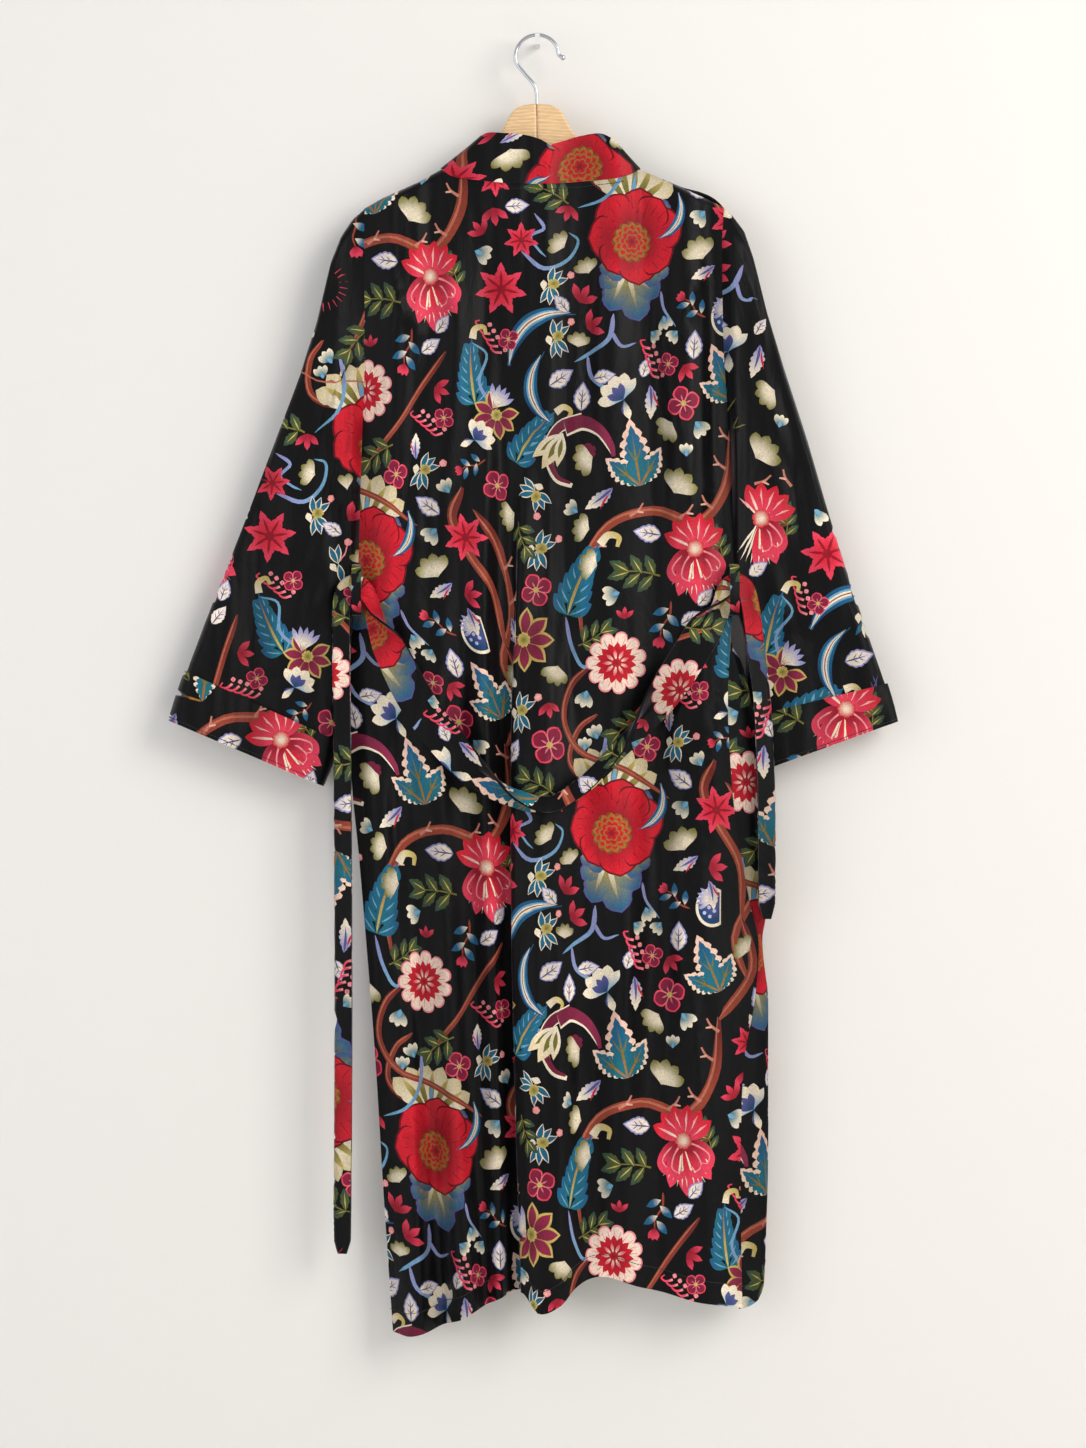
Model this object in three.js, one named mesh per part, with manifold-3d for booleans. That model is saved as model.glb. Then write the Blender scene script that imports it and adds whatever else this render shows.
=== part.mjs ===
import * as THREE from "three";
import { mergeVertices } from "three/addons/utils/BufferGeometryUtils.js";
import Module from "manifold-3d";

// A printed velvet kimono robe on a wooden hanger, hung from a hook with its back to the room.
// Units are millimetres. +X is to the right as seen from the room and +Z is up.
// The wall is the plane y = 0 and "out" is the distance from it, so y = -out.
// The origin is where the wall hook's shank leaves the wall.

// Driving dimensions

const CLOTH_WALL = 1.8; // velvet, one layer with its pile
const DOUBLE_WALL = 2.6; // neck band, cuffs and belt are made of two layers
const LOOP_WALL = 1.6;
const SEAM_GAP = 0.3;
const SHOULDER_GAP = 0.8; // between the back and the fronts along the shoulder line
const BACK_ARMHOLE_GAP = 1.3; // the cloths slope away from each other at the armhole
const FRONT_ARMHOLE_GAP = 1.7;
const BAND_GAP = 0.9; // between a front and the slanting edge of its band
const BELT_WIDTH = 38;
const BELT_BEND = 4; // half the length of belt that takes up its lengthwise fold
const CUFF_OFFSET = CLOTH_WALL / 2 + SEAM_GAP + DOUBLE_WALL / 2; // the cuff lies round the sleeve's end
const CUFF_OVERLAP = 0.16; // share of the cuff's depth that the sleeve reaches into it
const HANGER_OUT = 32; // middle of the hanger, from the wall
const HANGER_THICKNESS = 12;
const HANGER_EDGE = 2.5; // rounding of the wood's edges
const SHOULDER_ROLL = 9; // drop over which the cloth turns from the shoulder line to the back
const WIRE_RADIUS = 2;
const HOOK_RADIUS = 23; // centreline of the hanger's hook
const HOOK_CENTRE_Z = -18.6;
const FRONT_HEM_Z = -1300;
const SIDE_HEM_Z = -1336; // the right front's hem where it comes round the side
const SIDE_HEM_SHARE = 0.3; // share of its width over which that hem rises
const LEFT_SHOULDER_X = -182; // ends of the two shoulder lines
const LEFT_NECK_X = -100;
const RIGHT_NECK_X = 107;
const RIGHT_SHOULDER_X = 196;
const LEFT_ARMHOLE_Z = -600; // lower ends of the armholes
const RIGHT_ARMHOLE_Z = -592;

// Tables. Heights run downwards from the wall hook.

// Top edge of the back: the shoulders slope down from the neck, and the neck seam dips between them.
// x, z, out
const BACK_TOP = [
  [-184, -181, 32.4],
  [-163, -169, 32.4],
  [-125, -152, 32.4],
  [-101, -138.6, 32.4],
  [-99.5, -139.5, 36.5],
  [-97, -141.8, 39.8],
  [-92, -145.4, 41.2],
  [-80, -148.6, 42],
  [-62, -151, 42.4],
  [-33, -154, 43],
  [18, -155, 43.5],
  [45, -153, 43],
  [85, -148.6, 42],
  [97, -145.4, 41.2],
  [103, -141.8, 39.8],
  [106, -139.5, 36.5],
  [108, -138.8, 32.4],
  [123, -145, 32.4],
  [175, -168, 32.4],
  [197, -179, 32.4],
];

// Lower edge of the back. It rises between the two lowest points of the side folds.
// x, z
const BACK_HEM = [
  [-153, -1361],
  [-132, -1363],
  [-87, -1347],
  [-48, -1328],
  [-15, -1316],
  [1, -1336],
  [24, -1328],
  [39, -1312],
  [56, -1303],
  [78, -1301],
  [110, -1311],
  [162, -1325],
  [207, -1333],
  [226, -1337],
];

// Left side: where the back ends, its depth, and the depth of the front that meets it there.
// z, x, out of the back, out of the front
const LEFT_SIDE = [
  [-181, -182, 40.5, 23.5],
  [-215, -182, 41, 23],
  [-330, -182, 39, 27],
  [-450, -186, 37, 31],
  [-550, -189, 36, 33.9],
  [-620, -194, 36, 33.9],
  [-700, -198, 36, 33.9],
  [-783, -195, 36, 33.9],
  [-865, -187, 36, 33.9],
  [-1060, -171, 37, 34.9],
  [-1220, -161, 37, 34.9],
  [-1365, -151, 38, 35.9],
];

// Right side: where the back ends, its depth, the depth of the front there, and how far the front
// reaches round the side before it turns to the wall.
// z, x, out of the back, out of the front, x of the outline
const RIGHT_SIDE = [
  [-179, 196, 40.5, 23.5, 196],
  [-215, 195, 41, 23, 195],
  [-330, 197, 39, 27, 197],
  [-450, 205, 38, 32, 205],
  [-560, 207, 41, 38.9, 207],
  [-634, 203, 44, 41.9, 210],
  [-687, 200, 46, 43.9, 222],
  [-739, 201, 47, 44.9, 231],
  [-816, 207, 47, 44.9, 232],
  [-873, 216, 47, 44.9, 237],
  [-915, 224, 47, 44.9, 239],
  [-950, 232, 47, 44.9, 241],
  [-1012, 228, 47, 44.9, 242],
  [-1075, 217, 46, 43.9, 242],
  [-1180, 213, 46, 43.9, 242],
  [-1283, 214, 46, 43.9, 239],
  [-1340, 215, 46, 43.9, 236],
];

// Fold lines of the back, from left to right between its side edges. Each line has its x and its
// distance from the wall at the fold levels.
const FOLD_LEVELS = [-150, -330, -550, -700, -865, -1065, -1330];
const BACK_FOLDS = [
  { line: "left ridge", x: [-150, -150, -160, -170, -160, -142, -122], out: [44, 51, 46, 44, 49, 53, 60] },
  { line: "left valley", x: [-107, -118, -142, -148, -135, -118, -100], out: [42, 43, 43, 42, 42, 43, 45] },
  { line: "second ridge", x: [-96, -87, -107, -113, -101, -90, -78], out: [44, 53, 51, 57, 59, 61, 67] },
  { line: "second valley", x: [-64, -65, -80, -80, -71, -63, -54], out: [43, 44, 44, 45, 46, 46, 48] },
  { line: "stepped ridge", x: [-48, -48, -56, -55, -51, -46, -39], out: [44, 46, 53, 57, 54, 53, 55] },
  { line: "before the fold", x: [-36, -36, -40, -39, -36, -34, -27], out: [43, 45, 43, 41, 41, 41, 43] },
  { line: "under turn", x: [-25, -25, -28, -13, -4, -2, 4], out: [43, 45, 42, 40, 40, 40, 42] },
  { line: "under return", x: [-17, -17, -22, -12, -7, -5, 1], out: [44, 46, 46, 47, 47.5, 47.5, 49.5] },
  { line: "fold edge", x: [-8, -8, -19, -26, -27, -24, -16], out: [44, 47, 51, 53, 54, 55, 59] },
  { line: "fold top", x: [1, 1, -10, -19, -20, -16, -8], out: [44, 48, 55, 60, 62, 62, 67] },
  { line: "middle ridge", x: [18, 17, 11, 13, 15, 18, 22], out: [44, 48, 54, 62, 66, 66, 73] },
  { line: "middle valley", x: [45, 45, 41, 45, 49, 52, 57], out: [43, 44, 46, 48, 50, 49, 51] },
  { line: "right ridge", x: [98, 80, 78, 80, 85, 89, 96], out: [44, 51, 51, 55, 59, 60, 64] },
  { line: "right valley", x: [108, 118, 116, 118, 123, 128, 134], out: [41, 42, 44, 46, 46, 46, 50] },
  { line: "side ridge", x: [150, 149, 152, 151, 160, 166, 170], out: [43, 50, 50, 53, 53, 55, 61] },
];

// Depth of the fronts at even steps from the side to the band seam.
// z, out at each step
const LEFT_FRONT_DEPTHS = [
  [-150, 22, 21.5, 21, 20.5, 20, 20],
  [-330, 19, 20, 15, 18, 14, 16],
  [-600, 17, 18, 12, 16, 11, 13],
  [-865, 15, 18, 10, 15, 9, 12],
  [-1330, 14, 19, 8, 16, 8, 12],
];
const RIGHT_FRONT_DEPTHS = [
  [-150, 22.5, 22.5, 22.5, 22.5, 22.5, 22.5],
  [-330, 21, 24, 20, 23, 20, 21.5],
  [-600, 22, 26, 21, 25, 20, 20.5],
  [-865, 22, 27, 21, 26, 20, 20],
  [-1330, 22, 29, 20, 27, 20, 20],
];

// The neck band. Each row is a line across it, from its seam to its free edge.
// seam x, z, out, free edge x, z, out
const BACK_BAND = [
  [-94.2, -150, 24, -56, -118, 24],
  [-94.8, -142, 24.2, -58.5, -114, 25],
  [-97.6, -136.6, 27.4, -60.5, -110, 28.5],
  [-99.5, -136, 32, -62, -107.5, 33],
  [-98.5, -137.3, 37, -60.5, -105.5, 37.5],
  [-95.5, -140.6, 40.4, -56, -103, 40.8],
  [-86, -145.3, 42.2, -50, -101, 43],
  [-62, -148.6, 42.6, -36, -101.5, 44],
  [-33, -151.6, 43.4, -17, -103, 45],
  [-6, -152.6, 43.6, 2, -108, 46.5],
  [2, -152.8, 43.7, 12, -114, 48.4],
  [7, -152.9, 43.7, 18, -119, 46.4],
  [12, -152.9, 43.7, 13, -115, 43.4],
  [20, -152.6, 43.6, 29, -109.5, 43.4],
  [45, -150.6, 43.3, 46, -104.5, 43.6],
  [85, -146, 42.2, 67, -102, 42.6],
  [101, -140.8, 40.4, 78, -107, 40],
  [105, -137.4, 37, 83, -110.5, 37],
  [106.5, -136, 32, 84, -112.5, 33],
  [106.5, -137.6, 27.4, 82, -115, 28.5],
  [105.5, -142, 24.4, 79, -118.5, 25],
  [104.5, -150, 24.2, 76, -122, 24.4],
];
// The left front lies next to the wall and the right front inside it, so the right band is
// farther out all the way down.
const LEFT_BAND = [
  [-94.6, -151.4, 23.6, -56.4, -119.6, 23.5],
  [-94, -180, 20.5, -48, -158, 20.5],
  [-80, -260, 17.5, -32, -245, 17.5],
  [-56, -370, 15.5, -8, -355, 15.5],
  [-27, -470, 14, 21, -455, 14],
  [-4, -560, 13.2, 44, -552, 13],
  [5, -650, 12.8, 53, -650, 12.5],
  [5, -980, 12, 53, -980, 11],
  [5, -1300, 12, 53, -1300, 11],
];
const RIGHT_BAND = [
  [104.5, -151, 24.1, 75.6, -123, 24.1],
  [100, -180, 23, 54, -158, 23],
  [86, -260, 22, 38, -245, 22],
  [62, -370, 21.4, 14, -355, 21.4],
  [33, -470, 20.8, -15, -455, 20.6],
  [8, -560, 20.5, -40, -552, 20],
  [-1, -650, 20.3, -49, -650, 19.8],
  [-1, -980, 20, -49, -980, 19],
  [-1, -1300, 20, -49, -1300, 19],
];

// The sleeves' rings after the armhole: the top end, the underarm end, the middle's distance from
// the wall at both, and half the ring's depth. The last two rings are the cuff's top and mouth.
// top x, top z, underarm x, underarm z, out at top, out at underarm, half depth
const LEFT_SLEEVE = [
  [-194, -191, -197, -612, 32, 33, 9.5],
  [-206, -209, -200, -625, 32, 31, 11],
  [-217, -237, -202, -640, 32, 30, 12],
  [-231, -297, -204, -655, 31, 29, 12],
  [-253, -365, -205, -670, 30, 28, 12],
  [-281, -438, -206, -685, 29, 27, 12],
  [-305, -502, -207, -700, 28, 27, 11],
  [-328, -560, -208, -714, 28, 26, 11],
  [-350, -616, -209, -727, 28, 26, 11],
  [-369, -667, -210, -740, 28, 26, 11],
  [-386, -719, -229, -786, 28, 26, 12],
];
const RIGHT_SLEEVE = [
  [205, -187, 212, -604, 32, 34, 9.5],
  [217, -203, 216, -618, 32, 30, 11],
  [227, -232, 219, -632, 32, 26, 12],
  [241, -288, 221, -646, 31, 22, 12],
  [260, -350, 222, -658, 30, 20, 12],
  [283, -420, 222, -670, 29, 18, 12],
  [304, -492, 221, -682, 28, 18, 12],
  [325, -559, 220, -694, 28, 17, 12],
  [346, -622, 219, -705, 28, 17, 12],
  [366, -680, 218, -716, 28, 17, 12],
  [377, -720, 224, -776, 28, 17, 13],
];
// Edge of the drape of loose cloth that hangs over each sleeve beside the armhole.
// z, x
const LEFT_DRAPE = [
  [-300, -184],
  [-338, -190],
  [-386, -217],
  [-425, -228],
  [-450, -228],
  [-486, -214],
  [-508, -201],
  [-600, -196],
];
const RIGHT_DRAPE = [
  [-200, 205],
  [-271, 232],
  [-308, 242],
  [-387, 254],
  [-442, 261],
  [-489, 266],
  [-544, 263],
  [-580, 250],
  [-610, 235],
  [-640, 221],
];

// The belt's centreline from the left end to the right end. Turn is its angle about its own length,
// from lying face-on, and fold is how far each half is bent towards the other.
// x, z, out, turn, fold, share of the full width
const BELT = [
  [-204, -1277, 47, 90, 80, 0.55],
  [-204, -1264, 47, 90, 80, 0.95],
  [-204, -1230, 47, 90, 82, 1],
  [-203, -1100, 48, 90, 82, 1],
  [-203, -900, 50, 90, 82, 1],
  [-204, -740, 51, 90, 83, 1],
  [-205, -640, 51, 90, 84, 1],
  [-204, -594, 51, 90, 85, 1],
  [-199, -579, 51, 90, 85, 1],
  [-190, -575, 51, 90, 85, 1],
  [-181, -582, 51, 90, 82, 1],
  [-170, -606, 55, 70, 60, 1],
  [-155, -640, 58, 25, 15, 1],
  [-128, -694, 64, 5, 4, 1],
  [-95, -740, 68, 8, 8, 1],
  [-60, -775, 71, 30, 30, 1],
  [-22, -798, 76, 65, 60, 1],
  [13, -806, 78, 85, 72, 1],
  [50, -784, 77, 85, 70, 1],
  [85, -748, 71, 75, 64, 1],
  [112, -716, 67, 40, 40, 1],
  [142, -676, 65, 6, 8, 1],
  [172, -628, 62, 4, 10, 1],
  [190, -598, 58, 50, 55, 1],
  [199, -580, 55, 90, 82, 1],
  [208, -574, 54, 90, 85, 1],
  [217, -580, 54, 90, 85, 1],
  [222, -596, 54, 90, 84, 1],
  [228, -640, 53, 90, 83, 1],
  [235, -700, 53, 90, 82, 1],
  [239, -780, 53, 90, 82, 1],
  [240, -880, 52, 90, 82, 1],
  [240, -910, 52, 90, 80, 0.95],
  [240, -926, 52, 90, 80, 0.5],
];

// Belt loops: a strip that leaves the side seam, passes in front of the belt and comes back.
// z, distance from the seam
const LOOP_PATH = [
  [-556, 0],
  [-556, 12],
  [-562, 19],
  [-577, 21],
  [-596, 20],
  [-607, 14],
  [-607, 0],
];
const LOOP_WIDTH = 10;
const LEFT_LOOP_X = -189;
const RIGHT_LOOP_X = 206;
const LEFT_LOOP_OUT = 41.6;
const RIGHT_LOOP_OUT = 47.6;

// Outline of one wooden arm in front view, from the glued joint out along its top edge and back
// along its lower edge, as distance from the joint and height.
const ARM_OUTLINE = [
  [0, -68.8],
  [15, -70.5],
  [25, -76],
  [31, -86],
  [40, -102],
  [54, -114.5],
  [76, -129.5],
  [102, -143.4],
  [127, -153.6],
  [165, -169.4],
  [186, -183.4],
  [194, -193.5],
  [200, -204],
  [200, -216],
  [192, -222],
  [160, -212],
  [110, -188],
  [50, -162],
  [0, -149],
];
const JOINT_X = -2;
const WIRE_FOOT_X = -0.7;
const HANGER_TILT = 1; // degrees, right arm up
const HOOK_FOOT_Z = -82; // the wire's foot, in its hole in the wood
const WIRE_BALL_RADIUS = 2.9;
const WALL_HOOK_WIDTH = 5;

// Colours, from the photo

const VELVET = 0x171418;
const PRINT_RED = 0x8a2034;
const WOOD = 0xe2c193;
const CHROME = 0xb9bcc0;
const CLEAR_PLASTIC = 0xe8e8e6;

// Interpolation

function mix(a, b, t) {
  return a + (b - a) * t;
}

function smoothStep(from, to, value) {
  const t = Math.min(1, Math.max(0, (value - from) / (to - from)));
  return t * t * (3 - 2 * t);
}

// Smooth values of a table whose first column rises or falls steadily.
function lookUp(rows, key) {
  const sign = rows[rows.length - 1][0] > rows[0][0] ? 1 : -1;
  const last = rows.length - 1;
  if (sign * (key - rows[0][0]) <= 0) return rows[0].slice(1);
  if (sign * (key - rows[last][0]) >= 0) return rows[last].slice(1);
  let k = 0;
  while (sign * (key - rows[k + 1][0]) > 0) k += 1;
  const span = rows[k + 1][0] - rows[k][0];
  const t = (key - rows[k][0]) / span;
  const slope = (i, column) => {
    const before = rows[Math.max(0, i - 1)];
    const after = rows[Math.min(last, i + 1)];
    return ((after[column] - before[column]) / (after[0] - before[0])) * span;
  };
  return rows[k].slice(1).map((value, c) => {
    const column = c + 1;
    const next = rows[k + 1][column];
    const m0 = slope(k, column);
    const m1 = slope(k + 1, column);
    const t2 = t * t;
    const t3 = t2 * t;
    return (
      value * (2 * t3 - 3 * t2 + 1) + m0 * (t3 - 2 * t2 + t) + next * (3 * t2 - 2 * t3) + m1 * (t3 - t2)
    );
  });
}

// Straight-line values of a table.
function lookUpStraight(rows, key) {
  const last = rows.length - 1;
  const sign = rows[last][0] > rows[0][0] ? 1 : -1;
  if (sign * (key - rows[0][0]) <= 0) return rows[0].slice(1);
  if (sign * (key - rows[last][0]) >= 0) return rows[last].slice(1);
  let k = 0;
  while (sign * (key - rows[k + 1][0]) > 0) k += 1;
  const t = (key - rows[k][0]) / (rows[k + 1][0] - rows[k][0]);
  return rows[k].slice(1).map((value, c) => mix(value, rows[k + 1][c + 1], t));
}

// A point from its place in front view and its distance from the wall.
function place(x, z, out) {
  return new THREE.Vector3(x, -out, z);
}

// Rises from 0 to 1 along a quarter of an ellipse.
function quarterRound(distance, length) {
  const t = Math.min(1, Math.max(0, distance / length));
  return Math.sqrt(1 - (1 - t) * (1 - t));
}

// Solids from surfaces

function solidGeometry(positions, triangles) {
  const geometry = new THREE.BufferGeometry();
  geometry.setAttribute("position", new THREE.Float32BufferAttribute(positions, 3));
  const facing = signedVolume(positions, triangles) > 0;
  const index = facing ? triangles : triangles.map(([a, b, c]) => [a, c, b]);
  geometry.setIndex(index.flat());
  geometry.computeVertexNormals();
  return geometry;
}

function signedVolume(positions, triangles) {
  const corner = (i) => new THREE.Vector3(positions[3 * i], positions[3 * i + 1], positions[3 * i + 2]);
  let volume = 0;
  for (const [a, b, c] of triangles) {
    volume += corner(a).dot(corner(b).cross(corner(c))) / 6;
  }
  return volume;
}

// Unit normals of a grid of points. The columns may close on themselves.
function gridNormals(grid, closed) {
  const rows = grid.length;
  const columns = grid[0].length;
  return grid.map((row, i) =>
    row.map((_, j) => {
      const up = grid[Math.max(0, i - 1)][j];
      const down = grid[Math.min(rows - 1, i + 1)][j];
      const left = closed ? row[(j + columns - 1) % columns] : row[Math.max(0, j - 1)];
      const right = closed ? row[(j + 1) % columns] : row[Math.min(columns - 1, j + 1)];
      const across = new THREE.Vector3().subVectors(right, left);
      const along = new THREE.Vector3().subVectors(down, up);
      return across.cross(along).normalize();
    }),
  );
}

// A cloth wall: the grid of its middle surface, moved half a wall to each side and closed round
// its edges. A closed grid makes a tube that is open at both ends.
function clothSolid(grid, wall, closed = false) {
  const rows = grid.length;
  const columns = grid[0].length;
  const normals = gridNormals(grid, closed);
  const positions = [];
  for (const side of [1, -1]) {
    grid.forEach((row, i) =>
      row.forEach((point, j) => {
        const moved = point.clone().addScaledVector(normals[i][j], (side * wall) / 2);
        positions.push(moved.x, moved.y, moved.z);
      }),
    );
  }
  const vertex = (side, i, j) => side * rows * columns + i * columns + (j % columns);
  const triangles = [];
  const quad = (a, b, c, d) => triangles.push([a, b, c], [a, c, d]);
  const spans = closed ? columns : columns - 1;
  for (let i = 0; i < rows - 1; i += 1) {
    for (let j = 0; j < spans; j += 1) {
      quad(vertex(0, i, j), vertex(0, i, j + 1), vertex(0, i + 1, j + 1), vertex(0, i + 1, j));
      quad(vertex(1, i, j), vertex(1, i + 1, j), vertex(1, i + 1, j + 1), vertex(1, i, j + 1));
    }
  }
  for (let j = 0; j < spans; j += 1) {
    quad(vertex(1, 0, j), vertex(1, 0, j + 1), vertex(0, 0, j + 1), vertex(0, 0, j));
    const i = rows - 1;
    quad(vertex(0, i, j), vertex(0, i, j + 1), vertex(1, i, j + 1), vertex(1, i, j));
  }
  if (!closed) {
    for (let i = 0; i < rows - 1; i += 1) {
      quad(vertex(0, i, 0), vertex(0, i + 1, 0), vertex(1, i + 1, 0), vertex(1, i, 0));
      const j = columns - 1;
      quad(vertex(1, i, j), vertex(1, i + 1, j), vertex(0, i + 1, j), vertex(0, i, j));
    }
  }
  return solidGeometry(positions, triangles);
}

// The back

const SAMPLES_PER_FOLD = 2;
const BACK_COLUMNS = (BACK_FOLDS.length + 1) * SAMPLES_PER_FOLD;
const ROW_SHARES = [
  0, 0.0015, 0.004, 0.008, 0.014, 0.026, 0.05, 0.085, 0.125, 0.17, 0.215, 0.26, 0.305, 0.35, 0.395, 0.44,
  0.485, 0.535, 0.59, 0.65, 0.71, 0.77, 0.83, 0.89, 0.95, 1,
];

function foldRows(values) {
  return FOLD_LEVELS.map((level, i) => [level, values[i]]);
}

const BACK_FOLD_TRACKS = BACK_FOLDS.map((fold) => ({ x: foldRows(fold.x), out: foldRows(fold.out) }));

// The back's section at a height, as a smooth curve through its fold lines.
function backSection(z) {
  const [leftX, leftOut] = lookUp(LEFT_SIDE, z);
  const [rightX, rightOut] = lookUp(RIGHT_SIDE, z);
  const points = [
    new THREE.Vector3(leftX, leftOut, 0),
    ...BACK_FOLD_TRACKS.map(
      (track) => new THREE.Vector3(lookUp(track.x, z)[0], lookUp(track.out, z)[0], 0),
    ),
    new THREE.Vector3(rightX, rightOut, 0),
  ];
  return new THREE.CatmullRomCurve3(points, false, "centripetal");
}

// A point of the back. It leaves the top edge along a rounded shoulder.
function backPoint(share, z, topZ, topOut) {
  const onSection = backSection(z).getPoint(share);
  const out = mix(topOut, onSection.y, quarterRound(topZ - z, SHOULDER_ROLL));
  return place(onSection.x, z, out);
}

function backPanel() {
  const columns = [];
  for (let j = 0; j <= BACK_COLUMNS; j += 1) {
    const share = j / BACK_COLUMNS;
    const [topZ, topOut] = lookUpStraight(BACK_TOP, backSection(FOLD_LEVELS[0]).getPoint(share).x);
    const hemZ = lookUp(BACK_HEM, backSection(FOLD_LEVELS[FOLD_LEVELS.length - 1]).getPoint(share).x)[0];
    columns.push(
      ROW_SHARES.map((down) => backPoint(share, mix(topZ, hemZ, down), topZ, topOut)),
    );
  }
  const grid = ROW_SHARES.map((_, i) => columns.map((column) => column[i]));
  return clothSolid(grid, CLOTH_WALL);
}

// The fronts

const FRONT_ROWS = [
  0, 0.0015, 0.004, 0.008, 0.014, 0.03, 0.07, 0.12, 0.18, 0.24, 0.3, 0.36, 0.43, 0.5, 0.57, 0.64, 0.72, 0.8,
  0.9, 1,
];
const FRONT_LEFT_COLUMNS = 12;
const FRONT_RIGHT_COLUMNS = 20;
const FRONT_SHOULDER_OUT = BACK_TOP[0][2] - SHOULDER_GAP;
const SIDE_CURVE_WIDTH = 26; // of front that turns from the side seam to its flat

// Where the band is sewn to a front at a height.
function bandSeam(band, z) {
  const rows = band.map(([x, seamZ, out]) => [seamZ, x, out]);
  return lookUp(rows, z);
}

function shoulderTop(x) {
  return lookUpStraight(BACK_TOP, x)[0];
}

function frontLeft() {
  const columns = [];
  for (let j = 0; j <= FRONT_LEFT_COLUMNS; j += 1) {
    const share = j / FRONT_LEFT_COLUMNS;
    const topZ = shoulderTop(mix(LEFT_SHOULDER_X, LEFT_NECK_X, share));
    const column = FRONT_ROWS.map((down) => {
      const z = mix(topZ, FRONT_HEM_Z, down);
      const [sideX, , sideOut] = lookUp(LEFT_SIDE, z);
      const seamX = bandSeam(LEFT_BAND, z)[0] - BAND_GAP;
      const x = mix(sideX, seamX, share);
      const flat = lookUp(
        lookUp(LEFT_FRONT_DEPTHS, z).map((value, k, all) => [k / (all.length - 1), value]),
        share,
      )[0];
      const out = mix(sideOut, flat, smoothStep(0, SIDE_CURVE_WIDTH, x - sideX));
      return place(x, z, mix(FRONT_SHOULDER_OUT, out, quarterRound(topZ - z, SHOULDER_ROLL)));
    });
    columns.push(column);
  }
  const grid = FRONT_ROWS.map((_, i) => columns.map((column) => column[i]));
  return clothSolid(grid, CLOTH_WALL);
}

// The right front's section: it starts under the back's edge, runs round the side and turns in.
function frontRightSection(z) {
  const [seamX, , seamOut, outlineX] = lookUp(RIGHT_SIDE, z);
  const wrap = Math.max(0, outlineX - seamX);
  const wrapped = smoothStep(0, 14, wrap);
  const [bandX, bandOut] = bandSeam(RIGHT_BAND, z);
  const flat = lookUp(RIGHT_FRONT_DEPTHS, z);
  const tuck = 3 * wrapped;
  const points = [
    [seamX - tuck, seamOut],
    [mix(seamX - 4, outlineX - 5, wrapped), mix(seamOut - 0.6, seamOut - 1.5, wrapped)],
    [mix(seamX - 9, outlineX, wrapped), mix(seamOut - 2.4, seamOut - 6, wrapped)],
    [mix(seamX - 16, outlineX - 6, wrapped), mix(mix(seamOut, flat[0], 0.7), 33.5, wrapped)],
    [mix(seamX - 26, outlineX - 26, wrapped), mix(flat[0], 30, wrapped)],
  ];
  const startX = points[points.length - 1][0] - 16;
  flat.forEach((out, k) => {
    const share = k / (flat.length - 1);
    const last = k === flat.length - 1;
    points.push([mix(startX, bandX + BAND_GAP, share), last ? bandOut : out]);
  });
  return new THREE.CatmullRomCurve3(
    points.map(([x, out]) => new THREE.Vector3(x, out, 0)),
    false,
    "centripetal",
  );
}

function frontRight() {
  const columns = [];
  for (let j = 0; j <= FRONT_RIGHT_COLUMNS; j += 1) {
    const share = j / FRONT_RIGHT_COLUMNS;
    const topZ = shoulderTop(mix(RIGHT_SHOULDER_X, RIGHT_NECK_X, share));
    const hemZ = mix(SIDE_HEM_Z, FRONT_HEM_Z, smoothStep(0, SIDE_HEM_SHARE, share));
    const column = FRONT_ROWS.map((down) => {
      const z = mix(topZ, hemZ, down);
      const point = frontRightSection(z).getPoint(share);
      return place(point.x, z, mix(FRONT_SHOULDER_OUT, point.y, quarterRound(topZ - z, SHOULDER_ROLL)));
    });
    columns.push(column);
  }
  const grid = FRONT_ROWS.map((_, i) => columns.map((column) => column[i]));
  return clothSolid(grid, CLOTH_WALL);
}

// The neck band

const BAND_COLUMNS = 3;

function bandPiece(table, stationsPerRow) {
  const seam = new THREE.CatmullRomCurve3(table.map((row) => place(row[0], row[1], row[2])));
  const free = new THREE.CatmullRomCurve3(table.map((row) => place(row[3], row[4], row[5])));
  const stations = (table.length - 1) * stationsPerRow;
  const grid = [];
  for (let i = 0; i <= stations; i += 1) {
    const from = seam.getPoint(i / stations);
    const to = free.getPoint(i / stations);
    const row = [];
    for (let j = 0; j <= BAND_COLUMNS; j += 1) {
      row.push(from.clone().lerp(to, j / BAND_COLUMNS));
    }
    grid.push(row);
  }
  return clothSolid(grid, DOUBLE_WALL);
}

// The sleeves

const RING_SHARES = [0, 0.01, 0.03, 0.065, 0.12, 0.2, 0.3, 0.42, 0.54, 0.66, 0.77, 0.86, 0.93, 0.97, 0.99, 1];
const RING_END = 11; // length over which a ring's end is rounded
const DRAPE_RISE = 8;
const DRAPE_STEP = 12;
const DRAPE_FADE = 190; // length over which the drape dies out at its lower end

// The first ring follows the armhole, a seam's gap away from both body pieces.
function armholeRing(side, sideTable, bottomZ) {
  const topX = side < 0 ? LEFT_SHOULDER_X : RIGHT_SHOULDER_X;
  const topZ = shoulderTop(topX);
  const middle = lookUp(sideTable, bottomZ);
  const endOut = (middle[1] + middle[2]) / 2;
  const half = (share, column, gap) => {
    const z = mix(topZ, bottomZ, share);
    const values = lookUp(sideTable, z);
    const rolled = mix(HANGER_OUT, values[column], quarterRound(topZ - z, SHOULDER_ROLL));
    const out = mix(endOut, rolled, quarterRound(z - bottomZ, RING_END));
    return place(values[0] + side * gap, z, out);
  };
  const back = RING_SHARES.map((share) => half(share, 1, BACK_ARMHOLE_GAP));
  const front = RING_SHARES.slice(1, -1)
    .reverse()
    .map((share) => half(share, 2, FRONT_ARMHOLE_GAP));
  return [...back, ...front];
}

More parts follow.
